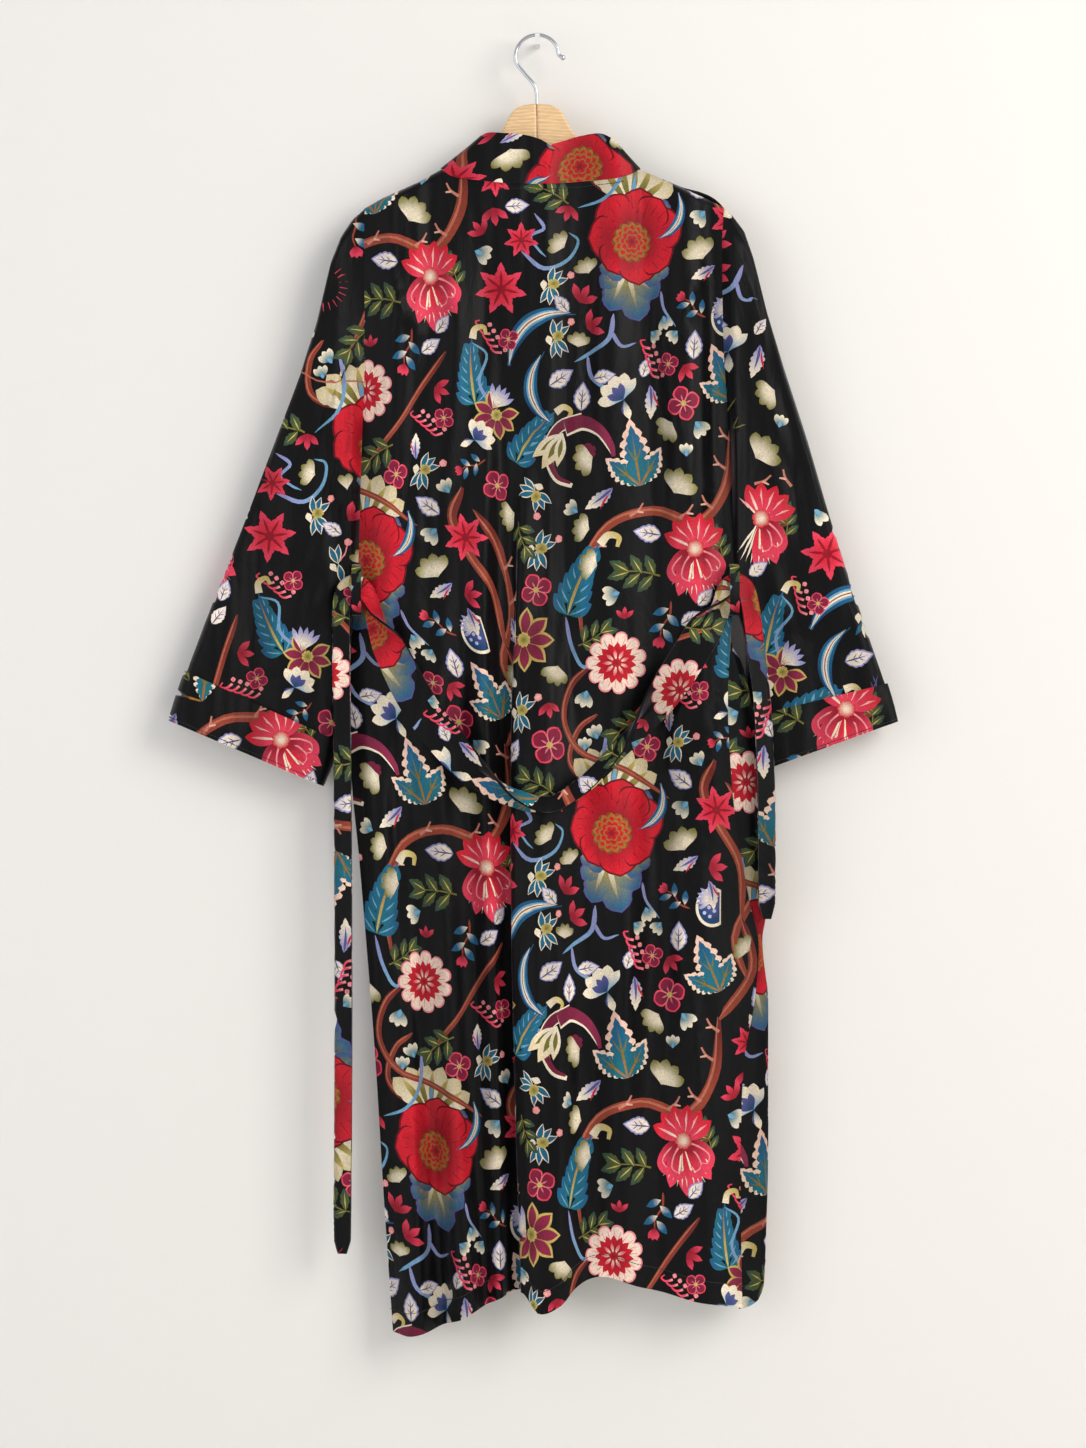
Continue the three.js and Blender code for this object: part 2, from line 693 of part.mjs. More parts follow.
function drapeRise(side, drape, x, z) {
  const [edge] = lookUp(drape, z);
  const inside = smoothStep(-DRAPE_STEP / 2, DRAPE_STEP / 2, side * (edge - x));
  const first = drape[0][0];
  const last = drape[drape.length - 1][0];
  const between = smoothStep(0, 40, first - z) * smoothStep(0, DRAPE_FADE, z - last);
  return DRAPE_RISE * inside * between;
}

// A later ring, flattened between its top end and its underarm end.
function sleeveRing(side, row, drape) {
  const [topX, topZ, underX, underZ, topOut, underOut, halfDepth] = row;
  const length = Math.hypot(underX - topX, underZ - topZ);
  const half = (share, direction) => {
    const x = mix(topX, underX, share);
    const z = mix(topZ, underZ, share);
    const fromEnd = Math.min(share, 1 - share) * length;
    const depth = halfDepth * quarterRound(fromEnd, RING_END);
    const rise = direction > 0 ? drapeRise(side, drape, x, z) * quarterRound(fromEnd, RING_END) : 0;
    return place(x, z, mix(topOut, underOut, share) + direction * depth + rise);
  };
  const back = RING_SHARES.map((share) => half(share, 1));
  const front = RING_SHARES.slice(1, -1).reverse().map((share) => half(share, -1));
  return [...back, ...front];
}

function blendRings(a, b, t) {
  return a.map((point, k) => point.clone().lerp(b[k], t));
}

function sleeve(side, sideTable, table, drape, armholeBottomZ) {
  const rings = [armholeRing(side, sideTable, armholeBottomZ)];
  for (const row of table.slice(0, -1)) rings.push(sleeveRing(side, row, drape));
  const cuffTop = rings[rings.length - 1];
  const mouth = sleeveRing(side, table[table.length - 1], drape);
  rings.push(blendRings(cuffTop, mouth, CUFF_OVERLAP));
  return clothSolid(rings, CLOTH_WALL, true);
}

function cuff(side, table, drape) {
  const top = sleeveRing(side, table[table.length - 2], drape);
  const mouth = sleeveRing(side, table[table.length - 1], drape);
  const rings = [0, 0.33, 0.67, 1].map((t) => blendRings(top, mouth, t));
  const normals = gridNormals(rings, true);
  const centre = new THREE.Vector3();
  rings[0].forEach((point) => centre.addScaledVector(point, 1 / rings[0].length));
  const outward = Math.sign(normals[0][0].dot(rings[0][0].clone().sub(centre)));
  const moved = rings.map((ring, i) =>
    ring.map((point, j) => point.clone().addScaledVector(normals[i][j], outward * CUFF_OFFSET)),
  );
  return clothSolid(moved, DOUBLE_WALL, true);
}

// The belt

const BELT_SAMPLES = [-1, -0.6, -0.24, -0.1, 0.1, 0.24, 0.6, 1]; // shares of half its width

// The belt's section, bent along its middle by an angle on each side.
function beltSection(foldDegrees, widthShare) {
  const fold = THREE.MathUtils.degToRad(foldDegrees);
  const steps = 24;
  const half = (BELT_WIDTH / 2) * widthShare;
  const at = (share) => {
    let across = 0;
    let deep = 0;
    const length = Math.abs(share) * half;
    for (let k = 0; k < steps; k += 1) {
      const s = ((k + 0.5) / steps) * length;
      const angle = fold * Math.min(1, s / BELT_BEND);
      across += Math.cos(angle) * (length / steps);
      deep += Math.sin(angle) * (length / steps);
    }
    return [Math.sign(share) * across, deep];
  };
  const points = BELT_SAMPLES.map(at);
  const middle = at(1)[1] / 2;
  return points.map(([across, deep]) => [across, deep - middle]);
}

function belt() {
  const path = new THREE.CatmullRomCurve3(BELT.map(([x, z, out]) => place(x, z, out)));
  const settings = BELT.map((row, k) => [k, row[3], row[4], row[5]]);
  const stations = (BELT.length - 1) * 2;
  const outward = new THREE.Vector3(0, -1, 0);
  const grid = [];
  for (let i = 0; i <= stations; i += 1) {
    const t = i / stations;
    const centre = path.getPoint(t);
    const tangent = path.getTangent(t);
    const beside = new THREE.Vector3(-tangent.z, 0, tangent.x).normalize();
    const [turnDegrees, fold, widthShare] = lookUpStraight(settings, t * (BELT.length - 1));
    const turn = THREE.MathUtils.degToRad(turnDegrees);
    const widthWay = beside.clone().multiplyScalar(Math.cos(turn)).addScaledVector(outward, Math.sin(turn));
    const deepWay = beside.clone().multiplyScalar(-Math.sin(turn)).addScaledVector(outward, Math.cos(turn));
    const row = beltSection(fold, widthShare).map(([across, deep]) =>
      centre.clone().addScaledVector(widthWay, across).addScaledVector(deepWay, deep),
    );
    grid.push(row);
  }
  return clothSolid(grid, DOUBLE_WALL);
}

function beltLoop(x, lift) {
  const path = new THREE.CatmullRomCurve3(LOOP_PATH.map(([z, out]) => place(x, z, out + lift)));
  const grid = [];
  const stations = 14;
  for (let i = 0; i <= stations; i += 1) {
    const centre = path.getPoint(i / stations);
    const row = [-0.5, 0.5].map((share) => centre.clone().setX(x + share * LOOP_WIDTH));
    grid.push(row);
  }
  return clothSolid(grid, LOOP_WALL);
}

// The hanger, its hook and the wall hook

const wasm = await Module();
wasm.setup();

function toManifold(geometry) {
  const plain = geometry.clone();
  plain.deleteAttribute("normal");
  plain.deleteAttribute("uv");
  const merged = mergeVertices(plain, 1e-4);
  return new wasm.Manifold(
    new wasm.Mesh({
      numProp: 3,
      vertProperties: new Float32Array(merged.attributes.position.array),
      triVerts: new Uint32Array(merged.index.array),
    }),
  );
}

function fromManifold(solid) {
  const mesh = solid.getMesh();
  const geometry = new THREE.BufferGeometry();
  geometry.setAttribute("position", new THREE.Float32BufferAttribute(mesh.vertProperties, 3));
  geometry.setIndex(new THREE.Uint32BufferAttribute(mesh.triVerts, 1));
  geometry.computeVertexNormals();
  return geometry;
}

function hangerArm(side) {
  const outline = ARM_OUTLINE.map(([x, z]) => new THREE.Vector2(side * x, -z));
  const joint = (side * SEAM_GAP) / 2;
  const shape = new THREE.Shape();
  shape.moveTo(joint, outline[0].y);
  shape.splineThru(outline.slice(1, -1));
  shape.lineTo(joint, outline[outline.length - 1].y);
  const geometry = new THREE.ExtrudeGeometry(shape, {
    depth: HANGER_THICKNESS - 2 * HANGER_EDGE,
    bevelThickness: HANGER_EDGE,
    bevelSize: HANGER_EDGE,
    bevelOffset: -HANGER_EDGE,
    bevelSegments: 2,
    curveSegments: 2,
  });
  geometry.rotateX(-Math.PI / 2);
  geometry.translate(JOINT_X, -HANGER_OUT - HANGER_THICKNESS / 2 + HANGER_EDGE, 0);
  geometry.rotateY(THREE.MathUtils.degToRad(-HANGER_TILT));
  return fromManifold(toManifold(geometry).subtract(hookHole()));
}

// The wire's centreline: up from the wood, round to the left and over to a tip on the right.
function hookPath() {
  const points = [
    place(WIRE_FOOT_X, HOOK_FOOT_Z, HANGER_OUT),
    place(WIRE_FOOT_X, -58, HANGER_OUT),
    place(-3, -49, HANGER_OUT),
    place(-13, -37, HANGER_OUT),
  ];
  for (let degrees = 195; degrees >= 5; degrees -= 19) {
    const angle = THREE.MathUtils.degToRad(degrees);
    const x = HOOK_RADIUS * Math.cos(angle);
    const z = HOOK_CENTRE_Z + HOOK_RADIUS * Math.sin(angle);
    points.push(place(x, z, HANGER_OUT));
  }
  points.push(place(HOOK_RADIUS + 4, HOOK_CENTRE_Z - 1, HANGER_OUT));
  return points;
}

function rod(points, radius, steps, sides) {
  const circle = new THREE.Shape();
  circle.absarc(0, 0, radius, 0, 2 * Math.PI);
  return new THREE.ExtrudeGeometry(circle, {
    steps,
    curveSegments: sides,
    bevelEnabled: false,
    extrudePath: new THREE.CatmullRomCurve3(points),
  });
}

function hookHole() {
  const points = [-60, HOOK_FOOT_Z - SEAM_GAP].map((z) => place(WIRE_FOOT_X, z, HANGER_OUT));
  return toManifold(rod(points, WIRE_RADIUS + SEAM_GAP, 1, 8));
}

function hangerHook() {
  const points = hookPath();
  const wire = toManifold(rod(points, WIRE_RADIUS, 54, 5));
  const ball = new THREE.SphereGeometry(WIRE_BALL_RADIUS, 14, 10);
  ball.translate(...points[points.length - 1].toArray());
  return fromManifold(wire.add(toManifold(ball)));
}

// A shank from the wall and an upright tab in front of the wire, drawn in side view.
function wallHook() {
  const shankTop = HOOK_CENTRE_Z + HOOK_RADIUS - WIRE_RADIUS - SEAM_GAP;
  const shankBottom = -3;
  const tabNear = HANGER_OUT + WIRE_RADIUS + SEAM_GAP;
  const tabFar = tabNear + 3;
  const tabTop = 4.7;
  const tabBottom = -6.6;
  const shape = new THREE.Shape();
  shape.moveTo(0, shankTop);
  shape.lineTo(tabNear, shankTop);
  shape.lineTo(tabNear, tabTop);
  shape.lineTo(tabFar, tabTop);
  shape.lineTo(tabFar, tabBottom);
  shape.lineTo(tabNear, tabBottom);
  shape.lineTo(tabNear, shankBottom);
  shape.lineTo(0, shankBottom);
  const geometry = new THREE.ExtrudeGeometry(shape, { depth: WALL_HOOK_WIDTH, bevelEnabled: false });
  geometry.translate(0, 0, -WALL_HOOK_WIDTH / 2);
  const toPart = new THREE.Matrix4().makeBasis(
    new THREE.Vector3(0, -1, 0),
    new THREE.Vector3(0, 0, 1),
    new THREE.Vector3(-1, 0, 0),
  );
  return geometry.applyMatrix4(toPart);
}

const parts = new THREE.Group();

function addPiece(name, geometry, color, roughness, metalness = 0) {
  const mesh = new THREE.Mesh(geometry, new THREE.MeshStandardMaterial({ color, roughness, metalness }));
  mesh.name = name;
  parts.add(mesh);
}

addPiece("back_panel", backPanel(), VELVET, 0.9);
addPiece("front_left", frontLeft(), VELVET, 0.9);
addPiece("front_right", frontRight(), VELVET, 0.9);
addPiece("neck_band_back", bandPiece(BACK_BAND, 2), PRINT_RED, 0.9);
addPiece("neck_band_left", bandPiece(LEFT_BAND, 3), VELVET, 0.9);
addPiece("neck_band_right", bandPiece(RIGHT_BAND, 3), VELVET, 0.9);
addPiece("sleeve_left", sleeve(-1, LEFT_SIDE, LEFT_SLEEVE, LEFT_DRAPE, LEFT_ARMHOLE_Z), VELVET, 0.9);
addPiece("sleeve_right", sleeve(1, RIGHT_SIDE, RIGHT_SLEEVE, RIGHT_DRAPE, RIGHT_ARMHOLE_Z), VELVET, 0.9);
addPiece("cuff_left", cuff(-1, LEFT_SLEEVE, LEFT_DRAPE), VELVET, 0.9);
addPiece("cuff_right", cuff(1, RIGHT_SLEEVE, RIGHT_DRAPE), VELVET, 0.9);
addPiece("belt", belt(), VELVET, 0.9);
addPiece("belt_loop_left", beltLoop(LEFT_LOOP_X, LEFT_LOOP_OUT), VELVET, 0.9);
addPiece("belt_loop_right", beltLoop(RIGHT_LOOP_X, RIGHT_LOOP_OUT), VELVET, 0.9);
addPiece("hanger_arm_left", hangerArm(-1), WOOD, 0.5);
addPiece("hanger_arm_right", hangerArm(1), WOOD, 0.5);
addPiece("hanger_hook", hangerHook(), CHROME, 0.2, 1);
addPiece("wall_hook", wallHook(), CLEAR_PLASTIC, 0.3);

export default parts;
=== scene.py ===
# %% [markdown]
# # A printed velvet kimono robe on a wooden hanger
#
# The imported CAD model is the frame: every Blender piece below is made in metres, in the same place as
# its CAD solid. The tables are in millimetres, as a maker would write them, and one factor turns them
# into metres.

# %% Load the frame
import math

import bmesh
import bpy
import numpy as np
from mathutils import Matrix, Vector
from mathutils.geometry import delaunay_2d_cdt


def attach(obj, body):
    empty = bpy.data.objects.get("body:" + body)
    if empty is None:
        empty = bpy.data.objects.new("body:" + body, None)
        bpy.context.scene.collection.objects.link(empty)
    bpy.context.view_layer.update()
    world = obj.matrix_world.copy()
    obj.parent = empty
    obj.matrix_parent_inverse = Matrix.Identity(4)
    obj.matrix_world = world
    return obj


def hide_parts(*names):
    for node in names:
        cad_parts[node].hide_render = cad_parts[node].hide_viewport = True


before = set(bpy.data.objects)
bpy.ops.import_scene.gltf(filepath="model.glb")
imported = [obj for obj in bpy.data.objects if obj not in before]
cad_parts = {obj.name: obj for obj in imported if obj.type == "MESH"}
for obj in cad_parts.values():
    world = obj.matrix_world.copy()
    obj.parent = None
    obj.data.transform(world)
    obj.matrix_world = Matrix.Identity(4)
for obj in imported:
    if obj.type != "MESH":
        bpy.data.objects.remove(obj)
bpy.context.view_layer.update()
MM = 0.001

# %% [markdown]
# ## Sizes
#
# X runs to the right as the room sees the robe, Z runs up, and "out" is the distance from the wall,
# so y = -out. The origin is where the wall hook leaves the wall. The robe shows its back.

# %% Named sizes
CLOTH_WALL = 1.8
DOUBLE_WALL = 2.6
SEAM_GAP = 0.3
SHOULDER_GAP = 0.8
SEAM_OVERLAP = 0.7
BACK_ARMHOLE_GAP = -SEAM_OVERLAP
FRONT_ARMHOLE_GAP = -SEAM_OVERLAP
BAND_GAP = 0.9
BELT_WIDTH = 38
BELT_BEND = 4
CUFF_OFFSET = CLOTH_WALL / 2 + SEAM_GAP + DOUBLE_WALL / 2
CUFF_OVERLAP = 0.16
HANGER_OUT = 32
SHOULDER_ROLL = 9
FRONT_HEM_Z = -1300
SIDE_HEM_Z = -1336
SIDE_HEM_SHARE = 0.3
LEFT_SHOULDER_X, LEFT_NECK_X = -182, -100
RIGHT_NECK_X, RIGHT_SHOULDER_X = 107, 196
LEFT_ARMHOLE_Z, RIGHT_ARMHOLE_Z = -600, -592

# %% Tables of the back: x, z, out along its top edge, and x, z along its hem
BACK_TOP = [
    (-184, -181, 32.4), (-163, -169, 32.4), (-125, -152, 32.4), (-101, -138.6, 32.4), (-99.5, -139.5, 36.5),
    (-97, -141.8, 39.8), (-92, -145.4, 41.2), (-80, -148.6, 42), (-62, -151, 42.4), (-33, -154, 43),
    (18, -155, 43.5), (45, -153, 43), (85, -148.6, 42), (97, -145.4, 41.2), (103, -141.8, 39.8),
    (106, -139.5, 36.5), (108, -138.8, 32.4), (123, -145, 32.4), (175, -168, 32.4), (197, -179, 32.4),
]
BACK_HEM = [
    (-153, -1361), (-132, -1363), (-87, -1347), (-48, -1328), (-15, -1316), (1, -1336), (24, -1328),
    (39, -1312), (56, -1303), (78, -1301), (110, -1311), (162, -1325), (207, -1333), (226, -1337),
]
# z, x, out of the back, out of the front
LEFT_SIDE = [
    (-181, -182, 40.5, 23.5), (-215, -182, 41, 23), (-330, -182, 39, 27), (-450, -186, 37, 31),
    (-550, -189, 36, 33.9), (-620, -194, 36, 33.9), (-700, -198, 36, 33.9), (-783, -195, 36, 33.9),
    (-865, -187, 36, 33.9), (-1060, -171, 37, 34.9), (-1220, -161, 37, 34.9), (-1365, -151, 38, 35.9),
]
# z, x, out of the back, out of the front, x of the outline
RIGHT_SIDE = [
    (-179, 196, 40.5, 23.5, 196), (-215, 195, 41, 23, 195), (-330, 197, 39, 27, 197),
    (-450, 205, 38, 32, 205), (-560, 207, 41, 38.9, 207), (-634, 203, 44, 41.9, 210),
    (-687, 200, 46, 43.9, 222), (-739, 201, 47, 44.9, 231), (-816, 207, 47, 44.9, 232),
    (-873, 216, 47, 44.9, 237), (-915, 224, 47, 44.9, 239), (-950, 232, 47, 44.9, 241),
    (-1012, 228, 47, 44.9, 242), (-1075, 217, 46, 43.9, 242), (-1180, 213, 46, 43.9, 242),
    (-1283, 214, 46, 43.9, 239), (-1340, 215, 46, 43.9, 236),
]
# Fold lines of the back from left to right: x and out at each level.
FOLD_LEVELS = [-150, -330, -550, -700, -865, -1065, -1330]
BACK_FOLDS = {
    "left ridge": ([-150, -150, -160, -170, -160, -142, -122], [44, 51, 46, 44, 49, 53, 60]),
    "left valley": ([-107, -118, -142, -148, -135, -118, -100], [42, 43, 43, 42, 42, 43, 45]),
    "second ridge": ([-96, -87, -107, -113, -101, -90, -78], [44, 53, 51, 57, 59, 61, 67]),
    "second valley": ([-64, -65, -80, -80, -71, -63, -54], [43, 44, 44, 45, 46, 46, 48]),
    "stepped ridge": ([-48, -48, -56, -55, -51, -46, -39], [44, 46, 53, 57, 54, 53, 55]),
    "before the fold": ([-36, -36, -40, -39, -36, -34, -27], [43, 45, 43, 41, 41, 41, 43]),
    "under turn": ([-25, -25, -28, -13, -4, -2, 4], [43, 45, 42, 40, 40, 40, 42]),
    "under return": ([-17, -17, -22, -12, -7, -5, 1], [44, 46, 46, 47, 47.5, 47.5, 49.5]),
    "fold edge": ([-8, -8, -19, -26, -27, -24, -16], [44, 47, 51, 53, 54, 55, 59]),
    "fold top": ([1, 1, -10, -19, -20, -16, -8], [44, 48, 55, 60, 62, 62, 67]),
    "middle ridge": ([18, 17, 11, 13, 15, 18, 22], [44, 48, 54, 62, 66, 66, 73]),
    "middle valley": ([45, 45, 41, 45, 49, 52, 57], [43, 44, 46, 48, 50, 49, 51]),
    "right ridge": ([98, 80, 78, 80, 85, 89, 96], [44, 51, 51, 55, 59, 60, 64]),
    "right valley": ([108, 118, 116, 118, 123, 128, 134], [41, 42, 44, 46, 46, 46, 50]),
    "side ridge": ([150, 149, 152, 151, 160, 166, 170], [43, 50, 50, 53, 53, 55, 61]),
}

# %% Tables of the fronts: z, out at even steps from the side seam to the band seam
LEFT_FRONT_DEPTHS = [
    (-150, 22, 21.5, 21, 20.5, 20, 20), (-330, 19, 20, 15, 18, 14, 16), (-600, 17, 18, 12, 16, 11, 13),
    (-865, 15, 18, 10, 15, 9, 12), (-1330, 14, 19, 8, 16, 8, 12),
]
RIGHT_FRONT_DEPTHS = [
    (-150, 22.5, 22.5, 22.5, 22.5, 22.5, 22.5), (-330, 21, 24, 20, 23, 20, 21.5),
    (-600, 22, 26, 21, 25, 20, 20.5), (-865, 22, 27, 21, 26, 20, 20), (-1330, 22, 29, 20, 27, 20, 20),
]

# %% Tables of the neck band: seam x, z, out, then free edge x, z, out
BACK_BAND = [
    (-94.2, -150, 24, -56, -118, 24), (-94.8, -142, 24.2, -58.5, -114, 25),
    (-97.6, -136.6, 27.4, -60.5, -110, 28.5), (-99.5, -136, 32, -62, -107.5, 33),
    (-98.5, -137.3, 37, -60.5, -105.5, 37.5), (-95.5, -140.6, 40.4, -56, -103, 40.8),
    (-86, -145.3, 42.2, -50, -101, 43), (-62, -148.6, 42.6, -36, -101.5, 44),
    (-33, -151.6, 43.4, -17, -103, 45), (-6, -152.6, 43.6, 2, -108, 46.5),
    (2, -152.8, 43.7, 12, -114, 48.4), (7, -152.9, 43.7, 18, -119, 46.4),
    (12, -152.9, 43.7, 13, -115, 43.4), (20, -152.6, 43.6, 29, -109.5, 43.4),
    (45, -150.6, 43.3, 46, -104.5, 43.6), (85, -146, 42.2, 67, -102, 42.6),
    (101, -140.8, 40.4, 78, -107, 40), (105, -137.4, 37, 83, -110.5, 37),
    (106.5, -136, 32, 84, -112.5, 33), (106.5, -137.6, 27.4, 82, -115, 28.5),
    (105.5, -142, 24.4, 79, -118.5, 25), (104.5, -150, 24.2, 76, -122, 24.4),
]
LEFT_BAND = [
    (-94.6, -151.4, 23.6, -56.4, -119.6, 23.5), (-94, -180, 20.5, -48, -158, 20.5),
    (-80, -260, 17.5, -32, -245, 17.5), (-56, -370, 15.5, -8, -355, 15.5), (-27, -470, 14, 21, -455, 14),
    (-4, -560, 13.2, 44, -552, 13), (5, -650, 12.8, 53, -650, 12.5), (5, -980, 12, 53, -980, 11),
    (5, -1300, 12, 53, -1300, 11),
]
RIGHT_BAND = [
    (104.5, -151, 24.1, 75.6, -123, 24.1), (100, -180, 23, 54, -158, 23), (86, -260, 22, 38, -245, 22),
    (62, -370, 21.4, 14, -355, 21.4), (33, -470, 20.8, -15, -455, 20.6), (8, -560, 20.5, -40, -552, 20),
    (-1, -650, 20.3, -49, -650, 19.8), (-1, -980, 20, -49, -980, 19), (-1, -1300, 20, -49, -1300, 19),
]

# %% Tables of the sleeves: top x, z, underarm x, z, out at top, out at underarm, half depth
LEFT_SLEEVE = [
    (-194, -191, -197, -612, 32, 33, 9.5), (-206, -209, -200, -625, 32, 31, 11),
    (-217, -237, -202, -640, 32, 30, 12), (-231, -297, -204, -655, 31, 29, 12),
    (-253, -365, -205, -670, 30, 28, 12), (-281, -438, -206, -685, 29, 27, 12),
    (-305, -502, -207, -700, 28, 27, 11), (-328, -560, -208, -714, 28, 26, 11),
    (-350, -616, -209, -727, 28, 26, 11), (-369, -667, -210, -740, 28, 26, 11),
    (-386, -719, -229, -786, 28, 26, 12),
]
RIGHT_SLEEVE = [
    (205, -187, 212, -604, 32, 34, 9.5), (217, -203, 216, -618, 32, 30, 11),
    (227, -232, 219, -632, 32, 26, 12), (241, -288, 221, -646, 31, 22, 12),
    (260, -350, 222, -658, 30, 20, 12), (283, -420, 222, -670, 29, 18, 12),
    (304, -492, 221, -682, 28, 18, 12), (325, -559, 220, -694, 28, 17, 12),
    (346, -622, 219, -705, 28, 17, 12), (366, -680, 218, -716, 28, 17, 12),
    (377, -720, 224, -776, 28, 17, 13),
]
# Edge of the loose cloth that hangs over each sleeve beside the armhole: z, x
LEFT_DRAPE = [
    (-300, -184), (-338, -190), (-386, -217), (-425, -228), (-450, -228), (-486, -214), (-508, -201),
    (-600, -196),
]
RIGHT_DRAPE = [
    (-200, 205), (-271, 232), (-308, 242), (-387, 254), (-442, 261), (-489, 266), (-544, 263), (-580, 250),
    (-610, 235), (-640, 221),
]

# %% Table of the belt: x, z, out, turn in degrees, fold in degrees, share of the full width
BELT = [
    (-204, -1277, 47, 90, 80, 0.55), (-204, -1264, 47, 90, 80, 0.95), (-204, -1230, 47, 90, 82, 1),
    (-203, -1100, 48, 90, 82, 1), (-203, -900, 50, 90, 82, 1), (-204, -740, 51, 90, 83, 1),
    (-205, -640, 51, 90, 84, 1), (-204, -594, 51, 90, 85, 1), (-199, -579, 51, 90, 85, 1),
    (-190, -575, 51, 90, 85, 1), (-181, -582, 51, 90, 82, 1), (-170, -606, 55, 70, 60, 1),
    (-155, -640, 58, 25, 15, 1), (-128, -694, 64, 5, 4, 1), (-95, -740, 68, 8, 8, 1),
    (-60, -775, 71, 30, 30, 1), (-22, -798, 76, 65, 60, 1), (13, -806, 78, 85, 72, 1),
    (50, -784, 77, 85, 70, 1), (85, -748, 71, 75, 64, 1), (112, -716, 67, 40, 40, 1),
    (142, -676, 65, 6, 8, 1), (172, -628, 62, 4, 10, 1), (190, -598, 58, 50, 55, 1),
    (199, -580, 55, 90, 82, 1), (208, -574, 54, 90, 85, 1), (217, -580, 54, 90, 85, 1),
    (222, -596, 54, 90, 84, 1), (228, -640, 53, 90, 83, 1), (235, -700, 53, 90, 82, 1),
    (239, -780, 53, 90, 82, 1), (240, -880, 52, 90, 82, 1), (240, -910, 52, 90, 80, 0.95),
    (240, -926, 52, 90, 80, 0.5),
]
# Belt loops: z, distance from the seam
LOOP_PATH = [(-556, 0), (-556, 12), (-562, 19), (-577, 21), (-596, 20), (-607, 14), (-607, 0)]
LOOP_WIDTH = 10
LOOPS = {"left": (-189, 41.6), "right": (206, 47.6)}

# %% [markdown]
# ## Smooth curves through the tables
#
# A garment's outline could be drawn as Bezier curves by hand. A table and two formulas do it here: one
# gives smooth values down a table, the other a smooth section through a row of fold lines. They are the
# formulas of the CAD source, so the shell lies exactly on its solid.

# %% Smooth values
def look_up(rows, keys):
    """Smooth values of a table, whose first column rises or falls steadily, at many keys."""
    table = np.array(rows, float)
    if table[-1, 0] < table[0, 0]:
        table = table[::-1]
    key, values = table[:, 0], table[:, 1:]
    slope = np.empty_like(values)
    slope[1:-1] = (values[2:] - values[:-2]) / (key[2:] - key[:-2])[:, None]
    slope[0] = (values[1] - values[0]) / (key[1] - key[0])
    slope[-1] = (values[-1] - values[-2]) / (key[-1] - key[-2])
    keys = np.clip(np.asarray(keys, float), key[0], key[-1])
    k = np.clip(np.searchsorted(key, keys) - 1, 0, len(key) - 2)
    span = (key[k + 1] - key[k])[..., None]
    t = (keys - key[k])[..., None] / span
    rise = t * t * (3 - 2 * t)
    inner = slope[k] * (t**3 - 2 * t**2 + t) + slope[k + 1] * (t**3 - t**2)
    return values[k] * (1 - rise) + values[k + 1] * rise + inner * span


def look_up_straight(rows, keys):
    """The same with straight lines between the rows."""
    table = np.array(rows, float)
    if table[-1, 0] < table[0, 0]:
        table = table[::-1]
    return np.stack([np.interp(keys, table[:, 0], column) for column in table[:, 1:].T], axis=-1)


def smooth_curve(points, share):
    """The point at a share of a smooth curve through points. The share runs evenly from point to point."""
    points = np.asarray(points, float)
    first = 2 * points[..., :1, :] - points[..., 1:2, :]
    last = 2 * points[..., -1:, :] - points[..., -2:-1, :]
    padded = np.concatenate([first, points, last], axis=-2)
    place = np.clip(share, 0, 1) * (points.shape[-2] - 1)
    k = np.minimum(place.astype(int), points.shape[-2] - 2)
    p = [np.take_along_axis(padded, (k + i)[..., None, None], axis=-2)[..., 0, :] for i in range(4)]
    d = [np.maximum(np.sum((p[i + 1] - p[i]) ** 2, axis=-1, keepdims=True), 1e-12) ** 0.25 for i in range(3)]
    start = ((p[1] - p[0]) / d[0] - (p[2] - p[0]) / (d[0] + d[1]) + (p[2] - p[1]) / d[1]) * d[1]
    end = ((p[2] - p[1]) / d[1] - (p[3] - p[1]) / (d[1] + d[2]) + (p[3] - p[2]) / d[2]) * d[1]
    t = (place - k)[..., None]
    rise = t * t * (3 - 2 * t)
    return p[1] * (1 - rise) + p[2] * rise + start * (t**3 - 2 * t**2 + t) + end * (t**3 - t**2)


def mix(a, b, t):
    return a + (b - a) * t


def smooth_step(low, high, value):
    t = np.clip((value - low) / (high - low), 0, 1)
    return t * t * (3 - 2 * t)


def quarter_round(distance, length):
    t = np.clip(distance / length, 0, 1)
    return np.sqrt(1 - (1 - t) ** 2)


def place(x, z, out):
    return np.stack(np.broadcast_arrays(x, -np.asarray(out, float), z), axis=-1)


# %% [markdown]
# ## The surfaces of the cloth
#
# Each pattern piece is a function: its inputs are a share across and a share down the piece, its result
# is the place of the cloth's middle. Anything can then be laid on the piece, however finely it is cut
# up: the print, the hem's stitches, the creases.

# %% The back
def back_section(z):
    lines = [look_up(LEFT_SIDE, z)[..., :2]]
    for xs, outs in BACK_FOLDS.values():
        lines.append(look_up(list(zip(FOLD_LEVELS, xs, outs)), z))
    lines.append(look_up(RIGHT_SIDE, z)[..., :2])
    return np.stack(lines, axis=-2)


def back_top(share):
    top_x = smooth_curve(back_section(np.full_like(share, FOLD_LEVELS[0])), share)[..., 0]
    return look_up_straight(BACK_TOP, top_x)


def back_surface(share, down):
    top = back_top(share)
    hem_x = smooth_curve(back_section(np.full_like(share, FOLD_LEVELS[-1])), share)[..., 0]
    z = mix(top[..., 0], look_up(BACK_HEM, hem_x)[..., 0], down)
    section = smooth_curve(back_section(z), share)
    out = mix(top[..., 1], section[..., 1], quarter_round(top[..., 0] - z, SHOULDER_ROLL))
    return place(section[..., 0], z, out)


# %% The fronts
FRONT_SHOULDER_OUT = BACK_TOP[0][2] - SHOULDER_GAP
SIDE_CURVE_WIDTH = 26


def shoulder_top(x):
    return look_up_straight(BACK_TOP, x)[..., 0]


